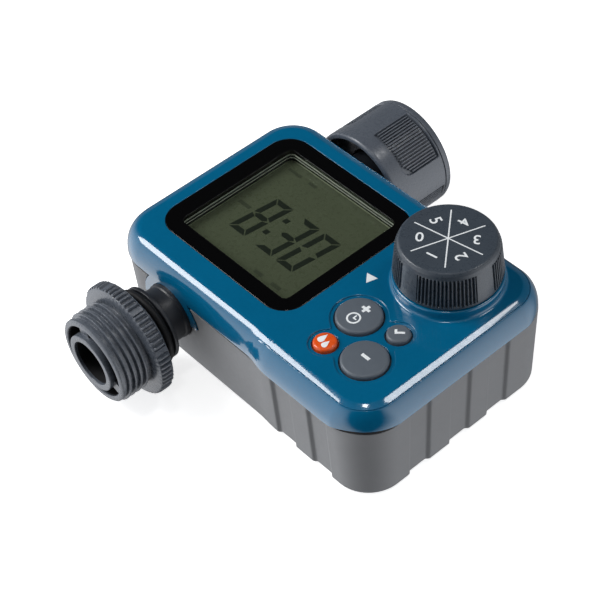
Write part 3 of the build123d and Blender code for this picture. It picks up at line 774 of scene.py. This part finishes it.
def grip_mask():
    """How far each outline point is sunk into a finger groove, from 0 to 1."""
    x, y = outline[:, 0], outline[:, 1]
    mask = np.zeros(len(outline))
    right = outward[:, 0] > 0.95
    sides = np.abs(outward[:, 1]) > 0.95
    for middle in grip_rows_y:
        sink = smooth((y - middle + 3.8) / steep) * smooth((middle + 3.9 - y) / gentle)
        mask = np.maximum(mask, np.where(right, sink, 0))
    for middle in grip_rows_x:
        sink = smooth((x - middle + 3.9) / gentle) * smooth((middle + 3.8 - x) / steep)
        mask = np.maximum(mask, np.where(sides, sink, 0))
    return mask


grips = grip_mask()
narrow_side = (outward[:, 1] < -0.5) & (outline[:, 0] < 20)
fill_out = np.where(narrow_side, (waist - base_waist) * np.clip((half_y + outline[:, 1]) / waist, 0, 1), 0)
fill_out *= np.clip(-outward[:, 1] * 2 - 1, 0, 1)


def base_inset(z, shade_in=0.0):
    """Inset of the base's outside: its draft, the grooves, and less of a waist than the cover has."""
    return 0.9 + (base_top - 1.2 - z) * draft + grip_depth * grips - fill_out + shade_in


def base_rings():
    rings = [case_ring(base_wall, base_floor), case_ring(base_wall, base_top)]
    rings.append(case_ring(base_inset(base_top, rim_bevel), base_top))
    rings.append(case_ring(base_inset(base_top - rim_bevel), base_top - rim_bevel))
    rings += [case_ring(base_inset(z), z) for z in np.linspace(base_top - 2, 2.5, 6)]
    for a in quarter(6):
        z = foot_round - foot_round * math.sin(a)
        rings.append(case_ring(base_inset(z, foot_round * (1 - math.cos(a))), z))
    return rings


base = make("base_tub", [loft(base_rings(), True, True)])
bay_x0, bay_x1 = door_low[0] + 0.8, door_high[0] + 0.3
bay_y0, bay_y1 = door_low[1] - 0.3, door_high[1] + 0.3
bay_low, bay_high = (bay_x0, bay_y0), (bay_x1, bay_y1)
screw_places = [(-44.8, -26.4), (-44.8, 26.4), (44.8, -27.6), (44.8, 27.6)]
screw_profile = [(3.25, -1), (3.05, 0.2), (3.0, 0.5), (3.0, 3.0), (1.7, 3.0), (1.7, 26)]
screw_posts = [upright_plug(3.2, 1.0, seam_z - 0.05, x, y, 48) for x, y in screw_places]
screw_holes = [upright_turn(screw_profile, x, y, 64, join=False) for x, y in screw_places]
bay_block = slab(grown_box(bay_low, bay_high, 1.2, 0.8), 2.0, 16.0)
bay_void = slab(grown_box(bay_low, bay_high, 0, 0.4), -1, 14.8)
slot_x0, slot_x1 = bay_x0 - 1.3, bay_x0 + 0.1
door_slots = [slab(rounded_box(slot_x0, slot_x1, y - 3.4, y + 3.4, 0.1), 1.5, 4.2) for y in (-18, 18)]
carve(
    base,
    [
        ("INTERSECT", [below_seam(seam_gap)]),
        ("UNION", screw_posts),
        ("UNION", [bay_block]),
        ("DIFFERENCE", [bay_void, *screw_holes]),
        ("DIFFERENCE", [*door_slots, *neck_bores()]),
    ],
)
wear(base, grey, "case", ["base_shell"])

# ---- display --------------------------------------------------------------------------------------
win_low = np.array([-38.1, -18.9])
win_high = np.array([4.9, 21.4])
win_radius = 1.6
pane_radius = 7.1


def matched_box(low, high, radius, count=160):
    """Rounded rectangle sampled at even angles, so that two of them can be joined ring to ring."""
    centre = (np.array(low) + np.array(high)) / 2
    raw = rounded_box(low[0], high[0], low[1], high[1], radius, 12)
    closed = np.vstack([raw, raw[:1]]) - centre
    angle = np.unwrap(np.arctan2(closed[:, 1], closed[:, 0]))
    samples = 4000
    dense = np.linspace(angle[0], angle[0] + 2 * math.pi, samples)
    length = np.linspace(0, 1, len(closed))
    spots = np.stack([np.interp(np.interp(dense, angle, length), length, closed[:, k]) for k in (0, 1)], -1)
    wanted = np.linspace(0, samples - 1, count, endpoint=False).astype(int)
    return spots[wanted] + centre


def window_ring(grow, z):
    """Ring round the window's opening, grown by a margin."""
    return at_height(matched_box(win_low - grow, win_high + grow, max(0.05, win_radius + grow)), z)


def pane_ring(inset, z):
    """Ring on the edge of the lens, moved in by an inset."""
    return at_height(matched_box(lens_low[:2] + inset, lens_high[:2] - inset, pane_radius - inset), z)


def ring_piece(name, rings, material, slot, replaced=()):
    """Frame-like piece through a closed loop of rings."""
    return piece(name, [loft(rings, join=True)], material, slot, replaced)


border_rings = [
    pane_ring(0, lens_low[2]),
    pane_ring(0, face_z - 0.08),
    pane_ring(0.08, face_z),
    window_ring(0.0, face_z),
    window_ring(0.0, lens_low[2]),
]
ring_piece("lens_border", border_rings, black, "clear_lens", ["display_lens"])
pane_loop = matched_box(win_low + 0.02, win_high - 0.02, win_radius)
piece("lens_pane", [slab(pane_loop, lens_low[2] + 0.02, face_z - 0.01)], window, "clear_lens")

well_rings = [
    pane_ring(3.0, frame_high[2] - 0.01),
    window_ring(0.12, frame_high[2] - 0.01),
    window_ring(0.12, 30.6),
    window_ring(0.0, 30.5),
    window_ring(0.0, lcd_high[2] + 0.05),
    window_ring(2.0, lcd_high[2] + 0.05),
    window_ring(2.0, frame_low[2]),
    pane_ring(3.0, frame_low[2]),
]
ring_piece("display_well", well_rings, dark_plastic, "black_plastic", ["display_frame"])


def edge_strip(name, grow, low, high, thick):
    """Thin pale strip round the inside of the window: a painted highlight for a lit edge."""
    rings = [
        window_ring(grow, low),
        window_ring(grow - thick, low + 0.02),
        window_ring(grow - thick, high - 0.02),
        window_ring(grow, high),
    ]
    return ring_piece(name, rings, edge_highlight, "black_plastic")


# Two pale strips on the window's walls: painted highlights where the edges of the lens and of the frame catch
# the light.
edge_strip("window_rim_highlight", 0.1, 30.78, 31.12, 0.16)
edge_strip("frame_lip_highlight", 0.0, 29.75, 30.0, 0.12)
film_low, film_high = lcd_high[2] - 0.3, lcd_high[2] - 0.02
glass = slab(grown_box(lcd_low, lcd_high, 0, 0.4), lcd_low[2], film_low, 0.05)
film = slab(grown_box(win_low, win_high, -0.35, 0.5), film_low, film_high, 0.04)
piece("lcd_glass", [glass], lcd_edge, "lcd_glass", ["lcd_panel"])
piece("lcd_film", [film], lcd, "lcd_glass")


def lean(points, x, y):
    """Digits lean a little to the right, as on most such displays."""
    return [(x + (px + 0.12 * py), y + py) for px, py in points]


def digit_loops(text, x, y, width, height, thick):
    """Seven-segment figure with its lower left corner at x, y."""
    on = {"0": "abcdef", "3": "abcdg", "8": "abcdefg"}[text]
    w, h, t, g = width, height, thick, 0.25
    m = h / 2
    tip, shoulder = g + t * 0.35, t + g * 0.6
    upper, lower = m + t / 2, m - t / 2
    middle = [
        (tip, m),
        (shoulder, upper),
        (w - t - g * 0.6, upper),
        (w - g - t * 0.35, m),
        (w - t - g * 0.6, lower),
        (shoulder, lower),
    ]
    shapes = {
        "a": [(g, h), (w - g, h), (w - t - g, h - t), (t + g, h - t)],
        "d": [(t + g, t), (w - t - g, t), (w - g, 0), (g, 0)],
        "g": middle,
        "f": [(0, h - g), (t, h - t - g), (t, upper + g * 0.4), (0, m + g)],
        "b": [(w, h - g), (w, m + g), (w - t, upper + g * 0.4), (w - t, h - t - g)],
        "e": [(0, m - g), (t, lower - g * 0.4), (t, t + g), (0, g)],
        "c": [(w, m - g), (w, g), (w - t, t + g), (w - t, lower - g * 0.4)],
    }
    return [lean(shapes[s], x, y) for s in on]


def box_loop(x, y, width, height):
    return [(x, y), (x + width, y), (x + width, y + height), (x, y + height)]


digits = []
digit_low = -8.8
for text, x in (("8", -30.4), ("3", -19.4), ("0", -10.9)):
    digits += digit_loops(text, x, digit_low, 6.6, 16.4, 1.75)
dot = 0.85
for y in (-3.4, 3.2):
    digits.append(lean(box_loop(-dot, -dot, 2 * dot, 2 * dot), -21.4 + 0.12 * (y - digit_low), y))
figures = flat_shape("lcd_digits", digits, level(film_high), 0.02, 4.0)
wear(figures, segment, "case")
faint_marks = [
    (-35.4, 17.4, 5.2, 1.0),
    (-27.0, 17.4, 3.0, 1.0),
    (-35.6, -1.0, 4.6, 1.2),
    (-12.0, -15.8, 3.2, 1.2),
    (-5.2, -15.8, 3.6, 1.2),
]
marks = flat_shape("lcd_marks", [box_loop(*mark) for mark in faint_marks], level(film_high), 0.02, 4.0)
wear(marks, segment_faint, "case")

# ---- buttons --------------------------------------------------------------------------------------
crown_height = 0.28
cap_round = 0.75


def crown(radius):
    """Height of a button's crowned top above its edge, as a function of the distance from its middle."""
    return lambda d: (button_top - crown_height) + crown_height * (1 - (d / radius) ** 2)


def button_look(node):
    """Finish and slot of a button."""
    return (orange, "orange_button") if node == "manual_button" else (button_grey, "grey_button")


def button_body(node):
    return node.split("_")[0]


def button_piece(node, radius):
    x, y = button_centre[node]
    top = crown(radius)
    flange = radius + 0.75
    profile = [(1.8, button_bottom), (1.8, 29.7), (flange, 29.7), (flange, 30.25), (radius, 30.3)]
    start = top(radius - cap_round)
    for a in quarter(6):
        out, up = cap_round * math.cos(a), cap_round * math.sin(a)
        profile.append((radius - cap_round + out, start - cap_round + up))
    for d in np.linspace(radius - cap_round, 0.3, 8)[1:]:
        profile.append((d, top(d)))
    cap = upright_turn(profile, x, y, 128, join=False)
    return piece(node.replace("_button", "_cap"), [cap], *button_look(node), [node], button_body(node))


for node, radius in button_nodes.items():
    button_piece(node, radius)


def on_button(node):
    cx, cy = button_centre[node]
    top = crown(button_nodes[node])
    return lambda x, y: top(math.hypot(x - cx, y - cy))


def bar(x0, y0, x1, y1, width):
    """Straight stroke as a closed loop."""
    a, b = np.array([x0, y0]), np.array([x1, y1])
    way = (b - a) / np.linalg.norm(b - a)
    side = np.array([-way[1], way[0]]) * width / 2
    return [a - side, b - side, b + side, a + side]


def print_mark(name, node, loops):
    cx, cy = button_centre[node]
    placed = [[(px + cx, py + cy) for px, py in loop] for loop in loops]
    mark = flat_shape(name, placed, on_button(node), 0.02, 0.5)
    return wear(mark, print_white_glow, button_body(node))


def plus_loop(x, y, arm, width):
    w = width / 2
    corners = [(-w, -arm), (w, -arm), (w, -w), (arm, -w), (arm, w), (w, w)]
    corners += [(w, arm), (-w, arm), (-w, w), (-arm, w), (-arm, -w), (-w, -w)]
    return [(x + px, y + py) for px, py in corners]


def drop(x, y, size):
    """Water drop of a plain tapering form."""
    points = []
    for angle in round_angles(48):
        px = math.sin(angle) * (0.5 - 0.5 * math.cos(angle)) * 0.5
        points.append((x + size * px, y + size * (0.56 * math.cos(angle))))
    return points


hands = [(-0.22, -2.12), (0.95, -2.12), (0.95, -1.7), (0.22, -1.7), (0.22, -0.75), (-0.22, -0.75)]
tick = [(-1.5, 0.1), (-1.0, 0.6), (-0.35, -0.05), (1.05, 1.35), (1.5, 0.85), (-0.35, -1.05)]
print_mark("mark_plus", "plus_button", [plus_loop(0.0, 2.5, 1.35, 0.85)])
print_mark("mark_clock", "plus_button", [circle(0, -1.9, 1.95, 48), circle(0, -1.9, 1.45, 48)[::-1]])
print_mark("mark_hands", "plus_button", [hands])
print_mark("mark_minus", "minus_button", [bar(-1.35, 0.35, 1.35, 0.35, 0.95)])
print_mark("mark_tick", "ok_button", [tick])
print_mark("mark_drops", "manual_button", [drop(-1.0, 0.35, 3.0), drop(1.0, -0.5, 2.5)])
pointer = flat_shape("pointer", [[(12.8, 2.9), (15.3, 0.2), (16.3, 3.5)]], level(face_z), 0.02, 1.0)
wear(pointer, print_white_glow, "case")

# ---- dial -----------------------------------------------------------------------------------------
knob_bottom = knob_low[2]
knob_face = knob_high[2] - 0.02
rib_low, rib_high = knob_bottom + 0.75, knob_high[2] - 2.0
base_r, rim_r, face_r = 14.4, 13.45, 12.4
rib_step = 4.1
rib_reach = 33.4
rib_depth = 0.4


def knob_radius(z):
    return base_r + (rim_r - base_r) * (z - knob_bottom) / (rib_high + 0.1 - knob_bottom)


def rib_wave(angle):
    """Rib height round the knob: four groups of sixteen ribs with plain stretches between."""
    degrees = (np.degrees(angle) + 2) % 90 - 45
    inside = smooth((rib_reach - np.abs(degrees)) / 0.8)
    wave = np.cos(np.radians(degrees / rib_step * 360 + 180))
    wave = np.tanh(wave * 1.6) / math.tanh(1.6)
    return inside * (wave * rib_depth - 0.1)


def knob():
    """Skirt with its ribs, rounded rim and flat face, as a stack of rings."""
    angles = round_angles(1120)
    wave = rib_wave(angles)
    levels = [
        (base_r - 1.5, knob_bottom + 0.1, 0),
        (base_r - 0.3, knob_bottom, 0),
        (base_r - 0.05, knob_bottom + 0.1, 0),
        (base_r, knob_bottom + 0.3, 0),
        (knob_radius(rib_low), rib_low, 0),
        (knob_radius(rib_low + 0.12), rib_low + 0.12, 0.9),
    ]
    levels += [(knob_radius(z), z, 1) for z in np.linspace(rib_low + 0.3, rib_high - 0.3, 7)]
    levels += [(knob_radius(rib_high - 0.1), rib_high - 0.1, 0.8), (knob_radius(rib_high), rib_high, 0)]
    shoulder = (rim_r - 0.2, knob_high[2] - 0.85)
    rim = [(rim_r - 0.02, rib_high + 0.1), shoulder, (face_r + 0.2, knob_face), (face_r - 2, knob_face)]
    levels += [(r, z, 0) for r, z in soften(rim, 0.75, closed=False, steps=7)]
    levels += [(r, knob_face, 0) for r in (8.0, 4.0, 0.5)]
    rings = [upright_ring(dial_x, dial_y, angles, r + wave * strength, z) for r, z, strength in levels]
    return loft(rings, True, True)


def knob_hub():
    low, high = knob_bottom + 0.2, knob_bottom + 0.9
    return upright_turn([(3.02, low), (5.2, low), (5.2, high), (3.02, high)], dial_x, dial_y, 64)


piece("dial_cap", [knob(), knob_hub()], slate, "slate_plastic", ["dial_knob"], "dial", sharp=50)


def dial_spot(angle, reach):
    return dial_x + reach * math.cos(angle), dial_y + reach * math.sin(angle)


line_reach, line_width = 10.5, 0.36
figure_reach, figure_size = 7.3, 4.6
for k in range(3):
    angle = math.radians(10.5 + 60 * k)
    loop = bar(*dial_spot(angle, -line_reach), *dial_spot(angle, line_reach), line_width)
    line = flat_shape(f"dial_line_{k + 1}", [loop], level(knob_face), 0.005 + 0.002 * k, 3.0)
    wear(line, print_white_glow, "dial")
for k in range(6):
    angle = -139.5 + 60 * k
    x, y = dial_spot(math.radians(angle), figure_reach)
    place = (x, y, angle + 180, level(knob_face))
    figure = text_shape(f"dial_figure_{k}", str(k), figure_size, *place, 0.005, 0.05)
    wear(figure, print_white_glow, "dial")

# ---- outlet ---------------------------------------------------------------------------------------
nose_y = box_mm("outlet_adaptor")[0][1]
sleeve_y = nose_y + 1.0
ring_front, ring_back, ring_r = -51.0, -46.4, 16.35
pitch = 1.814
tube_bore, tube_r = 6.7, 8.6
sleeve_bore = 10.9
knurl_step = 5.6
knurl_reach = 19.8
knurl_depth = 0.5


def thread_form(phase, height):
    """Rounded thread height for a phase counted in turns."""
    tri = 1 - np.abs((phase % 1.0) - 0.5) * 2
    return height * smooth((tri - 0.42) / (0.94 - 0.30 * 0.5 - 0.42))


def sleeve():
    """Threaded sleeve with a plain collar at its mouth."""
    angles = round_angles(180)
    start, end = sleeve_y + 1.5, ring_front - 0.4
    collar = [(0.25, sleeve_bore), (0, 11.15), (0, 12.2), (0.4, 12.65), (1.2, 12.7), (1.35, 12.3)]
    rings = [water_ring(angles, sleeve_y + along, r) for along, r in collar]
    for y in np.arange(start, end, 0.07):
        turn = (y - start) / pitch - angles / (2 * math.pi)
        fade = smooth((y - start) / 0.5) * smooth((end - y) / 0.5)
        rings.append(water_ring(angles, y, root + thread_form(turn, crest - root) * fade))
    tail_end = ring_front + 0.2
    for y, r in ((end + 0.1, root + 0.02), (tail_end, root + 0.05), (tail_end, sleeve_bore)):
        rings.append(water_ring(angles, y, r))
    return loft(rings, join=True)


def knurl(angles, y, radius):
    """Seven teeth in each eighth of the ring, with a plain stretch between the groups."""
    degrees = (np.degrees(angles) + 22.5) % 45 - 22.5
    inside = smooth((knurl_reach - np.abs(degrees)) / 0.8)
    wave = np.tanh(np.cos(np.radians(degrees / knurl_step * 360)) * 2.2) / math.tanh(2.2)
    strength = smooth((y - ring_front - 0.55) / 0.35) * smooth((ring_back - 0.3 - y) / 0.3)
    outer = radius > ring_r - 0.05
    return radius + (inside * (wave * knurl_depth) * strength if outer else 0)


def knurled_ring():
    profile = [(ring_front, 11.0), (ring_front, 12.4)]
    profile += [(ring_front + 0.1, 14.6), (ring_front + 0.45, ring_r - 0.1), (ring_front + 0.6, ring_r)]
    profile += [(y, ring_r) for y in np.linspace(ring_front + 0.8, ring_back - 0.5, 7)]
    profile += [(ring_back - 0.35, ring_r), (ring_back - 0.08, ring_r - 0.35), (ring_back, ring_r - 0.8)]
    profile += [(ring_back, 12.1), (ring_back + 0.15, 11.85), (-44.75, 11.8), (-44.6, 11.65)]
    profile += [(-44.6, 9.7), (-50.2, 9.7), (-50.2, 11.0)]
    return water_turn(profile, 720, swell=knurl)


def nose_tube():
    corners = [(nose_y, tube_bore), (nose_y, tube_r), (ring_front, tube_r), (ring_front, tube_bore)]
    return water_turn(soften(corners, [0.25, 0.3, 0.1, 0.1]))


def web(angle):
    """Rib between the tube and the sleeve."""
    outline_2d = rounded_box(8.4, 11.1, -1.75, 1.75, 0.25, 3)
    c, s = math.cos(math.radians(angle)), math.sin(math.radians(angle))
    rings = []
    for y in (sleeve_y + 0.5, -51.2):
        rings.append([(water_x + px * c - pz * s, y, water_z + px * s + pz * c) for px, pz in outline_2d])
    return loft(rings, True, True)


def throat():
    """Floor of the ring-shaped gap between the tube and the sleeve."""
    return water_turn([(-52.0, 8.4), (-52.0, 11.0), (-50.6, 11.0), (-50.6, 8.4)], 96)


def dark_liner(name, y0, y1, radius, thick):
    """Thin dark sheet on the wall of a hollow: painted shade, so that the hollow reads as deep."""
    corners = [(y0, radius), (y1, radius), (y1, radius + thick), (y0, radius + thick)]
    return piece(name, [water_turn(corners, 96)], rubber, "grey_fitting")


# Dark sheets in the bore, on the tube, in the sleeve and on the gap's floor: painted shade for the deep
# hollows of the outlet.
dark_liner("bore_painted_shade", nose_y + 0.9, -50.3, 6.62, 0.06)
dark_liner("tube_painted_shade", sleeve_y + 0.9, -52.1, 8.62, 0.06)
dark_liner("sleeve_painted_shade", sleeve_y + 0.7, -52.1, 10.8, 0.06)
dark_liner("floor_painted_shade", -52.2, -52.05, 8.65, 2.2)
adaptor_parts = [sleeve(), knurled_ring(), nose_tube(), throat(), web(105), web(-22)]
piece("outlet_fitting", adaptor_parts, fitting, "grey_fitting", ["outlet_adaptor"], sharp=42)


def neck_piece(name, node, corners):
    """Turned neck; corners are (y, radius, rounding)."""
    profile = soften([corner[:2] for corner in corners], [corner[2] for corner in corners])
    return piece(name, [water_turn(profile)], neck_grey, "grey_fitting", [node])


outlet_corners = [
    (-18.2, 5.5, 0.2),
    (-18.2, 7.55, 0.2),
    (-30, 7.55, 0.1),
    (-30, 8.0, 0.1),
    (-33.9, 8.0, 0.05),
    (-33.9, 8.25, 0.1),
    (-35.2, 8.25, 0.2),
    (-35.6, 8.0, 0.1),
    (-40.2, 8.0, 0.4),
    (-40.2, 11.0, 0.25),
    (-41.4, 11.0, 0.25),
    (-41.4, 9.6, 0.1),
    (-49.6, 9.6, 0.2),
    (-49.6, 5.5, 0.2),
]
neck_piece("outlet_neck", "outlet_spigot", outlet_corners)

# ---- inlet ----------------------------------------------------------------------------------------
nut_low, nut_high = box_mm("inlet_nut")
nut_near, nut_far = nut_low[1], nut_high[1]
nut_r = (nut_high[0] - nut_low[0]) / 2
panel_angle, panel_step = 57.0, 90.0
panel_half = 27.5
panel_near, panel_far = 40.9, 53.9
panel_sink = 0.85
groove_step = 3.15
thread_bore = 13.3


def panel_mask(angles, y):
    """Where the four grip panels are sunk, from 0 to 1."""
    degrees = (np.degrees(angles) - panel_angle + 45) % panel_step - 45
    corner = np.clip((-degrees - 17) / 10.5, 0, 1)
    near = panel_near + 2.6 * (1 - np.sqrt(np.clip(1 - corner**2, 0, 1)))
    side = smooth((panel_half - np.abs(degrees)) / 0.8 + 0.5)
    return side * smooth((y - near) / 0.3 + 0.5) * smooth((panel_far - y) / 0.3 + 0.5)


def nut_body():
    """Nut as one closed stack of rings: near end, grip panels, far rings, and back through the thread."""
    angles = round_angles(720)
    near_end = [(40.9, 14.9), (nut_near + 0.3, 14.9), (nut_near, 15.1), (nut_near, nut_r - 0.65)]
    near_end += [(nut_near + 0.2, nut_r - 0.25), (nut_near + 0.6, nut_r - 0.06)]
    far_end = [(54.4, nut_r - 0.03), (54.5, nut_r - 0.4), (54.85, nut_r - 0.4), (54.95, nut_r - 0.1)]
    far_end += [(56.1, nut_r - 0.12), (56.7, nut_r - 0.35), (56.95, nut_r - 0.75), (nut_far, nut_r - 1.1)]
    far_end += [(nut_far, 13.7), (nut_far - 0.3, 13.4)]
    socket = [(49.3, 12.9), (43.7, 12.8), (43.7, 8.7), (43.5, 8.5), (41.1, 8.5), (40.9, 8.7)]
    rings = [water_ring(angles, y, r) for y, r in near_end]
    for y in np.concatenate([np.arange(36.8, 40.8, 0.8), np.arange(40.8, 54.3, 0.16)]):
        rings.append(water_ring(angles, y, nut_r - 0.03 - panel_sink * panel_mask(angles, y)))
    rings += [water_ring(angles, y, r) for y, r in far_end]
    start, end = 49.4, nut_far - 0.5
    for y in np.arange(end, start, -0.14):
        turn = (y - start) / pitch - angles / (2 * math.pi)
        fade = smooth((y - start) / 1.0) * smooth((end - y) / 0.8)
        depth = (thread_bore - root) * thread_form(turn, 1.0) * fade
        rings.append(water_ring(angles, y, thread_bore - depth))
    rings += [water_ring(angles, y, r) for y, r in socket]
    return loft(rings, join=True)


def grip_rib(angle, start):
    """Straight rib on a grip panel, from y = start to the panel's far end."""
    foot, top = nut_r - 1.1, nut_r - 0.06
    shape = soften([(foot, -0.26), (top, -0.17), (top, 0.17), (foot, 0.26)], [0, 0.16, 0.16, 0], steps=3)
    c, s = math.cos(angle), math.sin(angle)
    rings = []
    for y, sunk in ((start, 0.25), (start + 0.15, 0), (53.3, 0), (53.45, 0.25)):
        moved = [(r - sunk, w) for r, w in shape]
        rings.append([(water_x + r * c - w * s, y, water_z + r * s + w * c) for r, w in moved])
    return loft(rings, True, True)


def grip_ribs():
    ribs = []
    for panel in range(4):
        for k in range(-8, 9):
            offset = k * groove_step
            start = 41.7 + max(0.0, (-offset - 16.0) * 0.22)
            ribs.append(grip_rib(math.radians(panel_angle + panel * panel_step + offset), start))
    return ribs


nut_parts = [nut_body(), *grip_ribs()]
piece("inlet_barrel", nut_parts, fitting, "grey_fitting", ["inlet_nut"], "nut", sharp=42)
inlet_corners = [
    (9.4, 5.5, 0.1),
    (9.4, 7.75, 0.2),
    (30, 7.75, 0.05),
    (30, 8.0, 0.1),
    (43.95, 8.0, 0.2),
    (43.95, 12.2, 0.25),
    (46.4, 12.2, 0.25),
    (46.4, 5.5, 0.2),
]
neck_piece("inlet_tail", "inlet_spigot", inlet_corners)

# ---- floor, light and camera ----------------------------------------------------------------------


def paper_floor():
    size = 3.0
    mesh = bpy.data.meshes.new("floor")
    corners = [(-size, -size, 0), (size, -size, 0), (size, size, 0), (-size, size, 0)]
    mesh.from_pydata(corners, [], [(0, 1, 2, 3)])
    obj = bpy.data.objects.new("floor", mesh)
    scene.collection.objects.link(obj)
    obj.location.z = cad_box[0].z - 0.0002
    pale = (0.93, 0.93, 0.93, 1)
    obj.data.materials.append(finish("paper", pale, 0.8, 2.0, 0.02, 0.004, 0.0, specular=0.1, emission=0.8))
    obj.visible_diffuse = False
    obj.visible_glossy = False
    return obj


paper_floor()


def direction(azimuth, elevation):
    """Unit vector; azimuth is measured anticlockwise from +X, as seen from above."""
    a, e = math.radians(azimuth), math.radians(elevation)
    return Vector((math.cos(a) * math.cos(e), math.sin(a) * math.cos(e), math.sin(e)))


def area(name, azimuth, elevation, distance, width, height, power):
    """Soft box that faces the object from a direction."""
    way = direction(azimuth, elevation)
    data = bpy.data.lights.new(name, "AREA")
    data.shape = "RECTANGLE"
    data.size = width
    data.size_y = height
    data.energy = power
    obj = bpy.data.objects.new(name, data)
    scene.collection.objects.link(obj)
    obj.location = Vector((0, 0, 0.02)) + way * distance
    obj.rotation_euler = way.to_track_quat("Z", "Y").to_euler()
    return obj


area("key", 216, 43, 0.7, 0.252, 0.373, 3.0)
area("rim", 66, 62, 1.5, 0.26, 0.3, 2.2)
area("top", 300, 87, 1.5, 0.16, 0.16, 1.5)


def studio_world():
    """Pale surroundings: a dark patch behind and above the object, and soft lobes low down round it."""
    world = bpy.data.worlds.new("studio")
    scene.world = world
    world.use_nodes = True
    tree = world.node_tree
    place = add_node(tree, "TexCoord").outputs["Generated"]

    def glow(azimuth, elevation, reach, core, to_low, to_high):
        """Smooth change from to_low at reach degrees off a direction to to_high at core degrees."""
        toward = dot_product(tree, place, direction(azimuth, elevation))
        low, high = math.cos(math.radians(reach)), math.cos(math.radians(core))
        return remap(tree, toward, low, high, to_low, to_high, "SMOOTHSTEP")

    total = glow(145, 48, 62, 22, 0.45, 0.03)
    for azimuth, elevation, reach, strength in ((238, -18, 72, 2.0), (14, -12, 64, 2.4), (322, 2, 56, -3.0)):
        total = arithmetic(tree, "ADD", total, glow(azimuth, elevation, reach, 0, 0.0, strength))
    strength = arithmetic(tree, "MAXIMUM", total, 0.02)
    feed(tree, tree.nodes["Background"], {"Strength": strength, "Color": (0.62, 0.63, 0.65, 1)})
    return world


studio_world()


def studio_camera():
    """Long lens that looks down on the face over the near corner."""
    data = bpy.data.cameras.new("camera")
    data.lens = 105
    data.sensor_width = 36
    data.clip_start = 0.01
    data.clip_end = 20
    camera = bpy.data.objects.new("camera", data)
    scene.collection.objects.link(camera)
    scene.camera = camera
    right = Vector((0.6647, 0.7443, -0.0631))
    up = Vector((-0.5117, 0.5153, 0.6874))
    back = Vector((0.5442, -0.4247, 0.7235))
    turn = Matrix((right, up, back)).transposed().to_4x4()
    camera.matrix_world = Matrix.Translation((0.25427, -0.20856, 0.36043)) @ turn


studio_camera()
scene.view_settings.view_transform = "Standard"
scene.view_settings.look = "None"
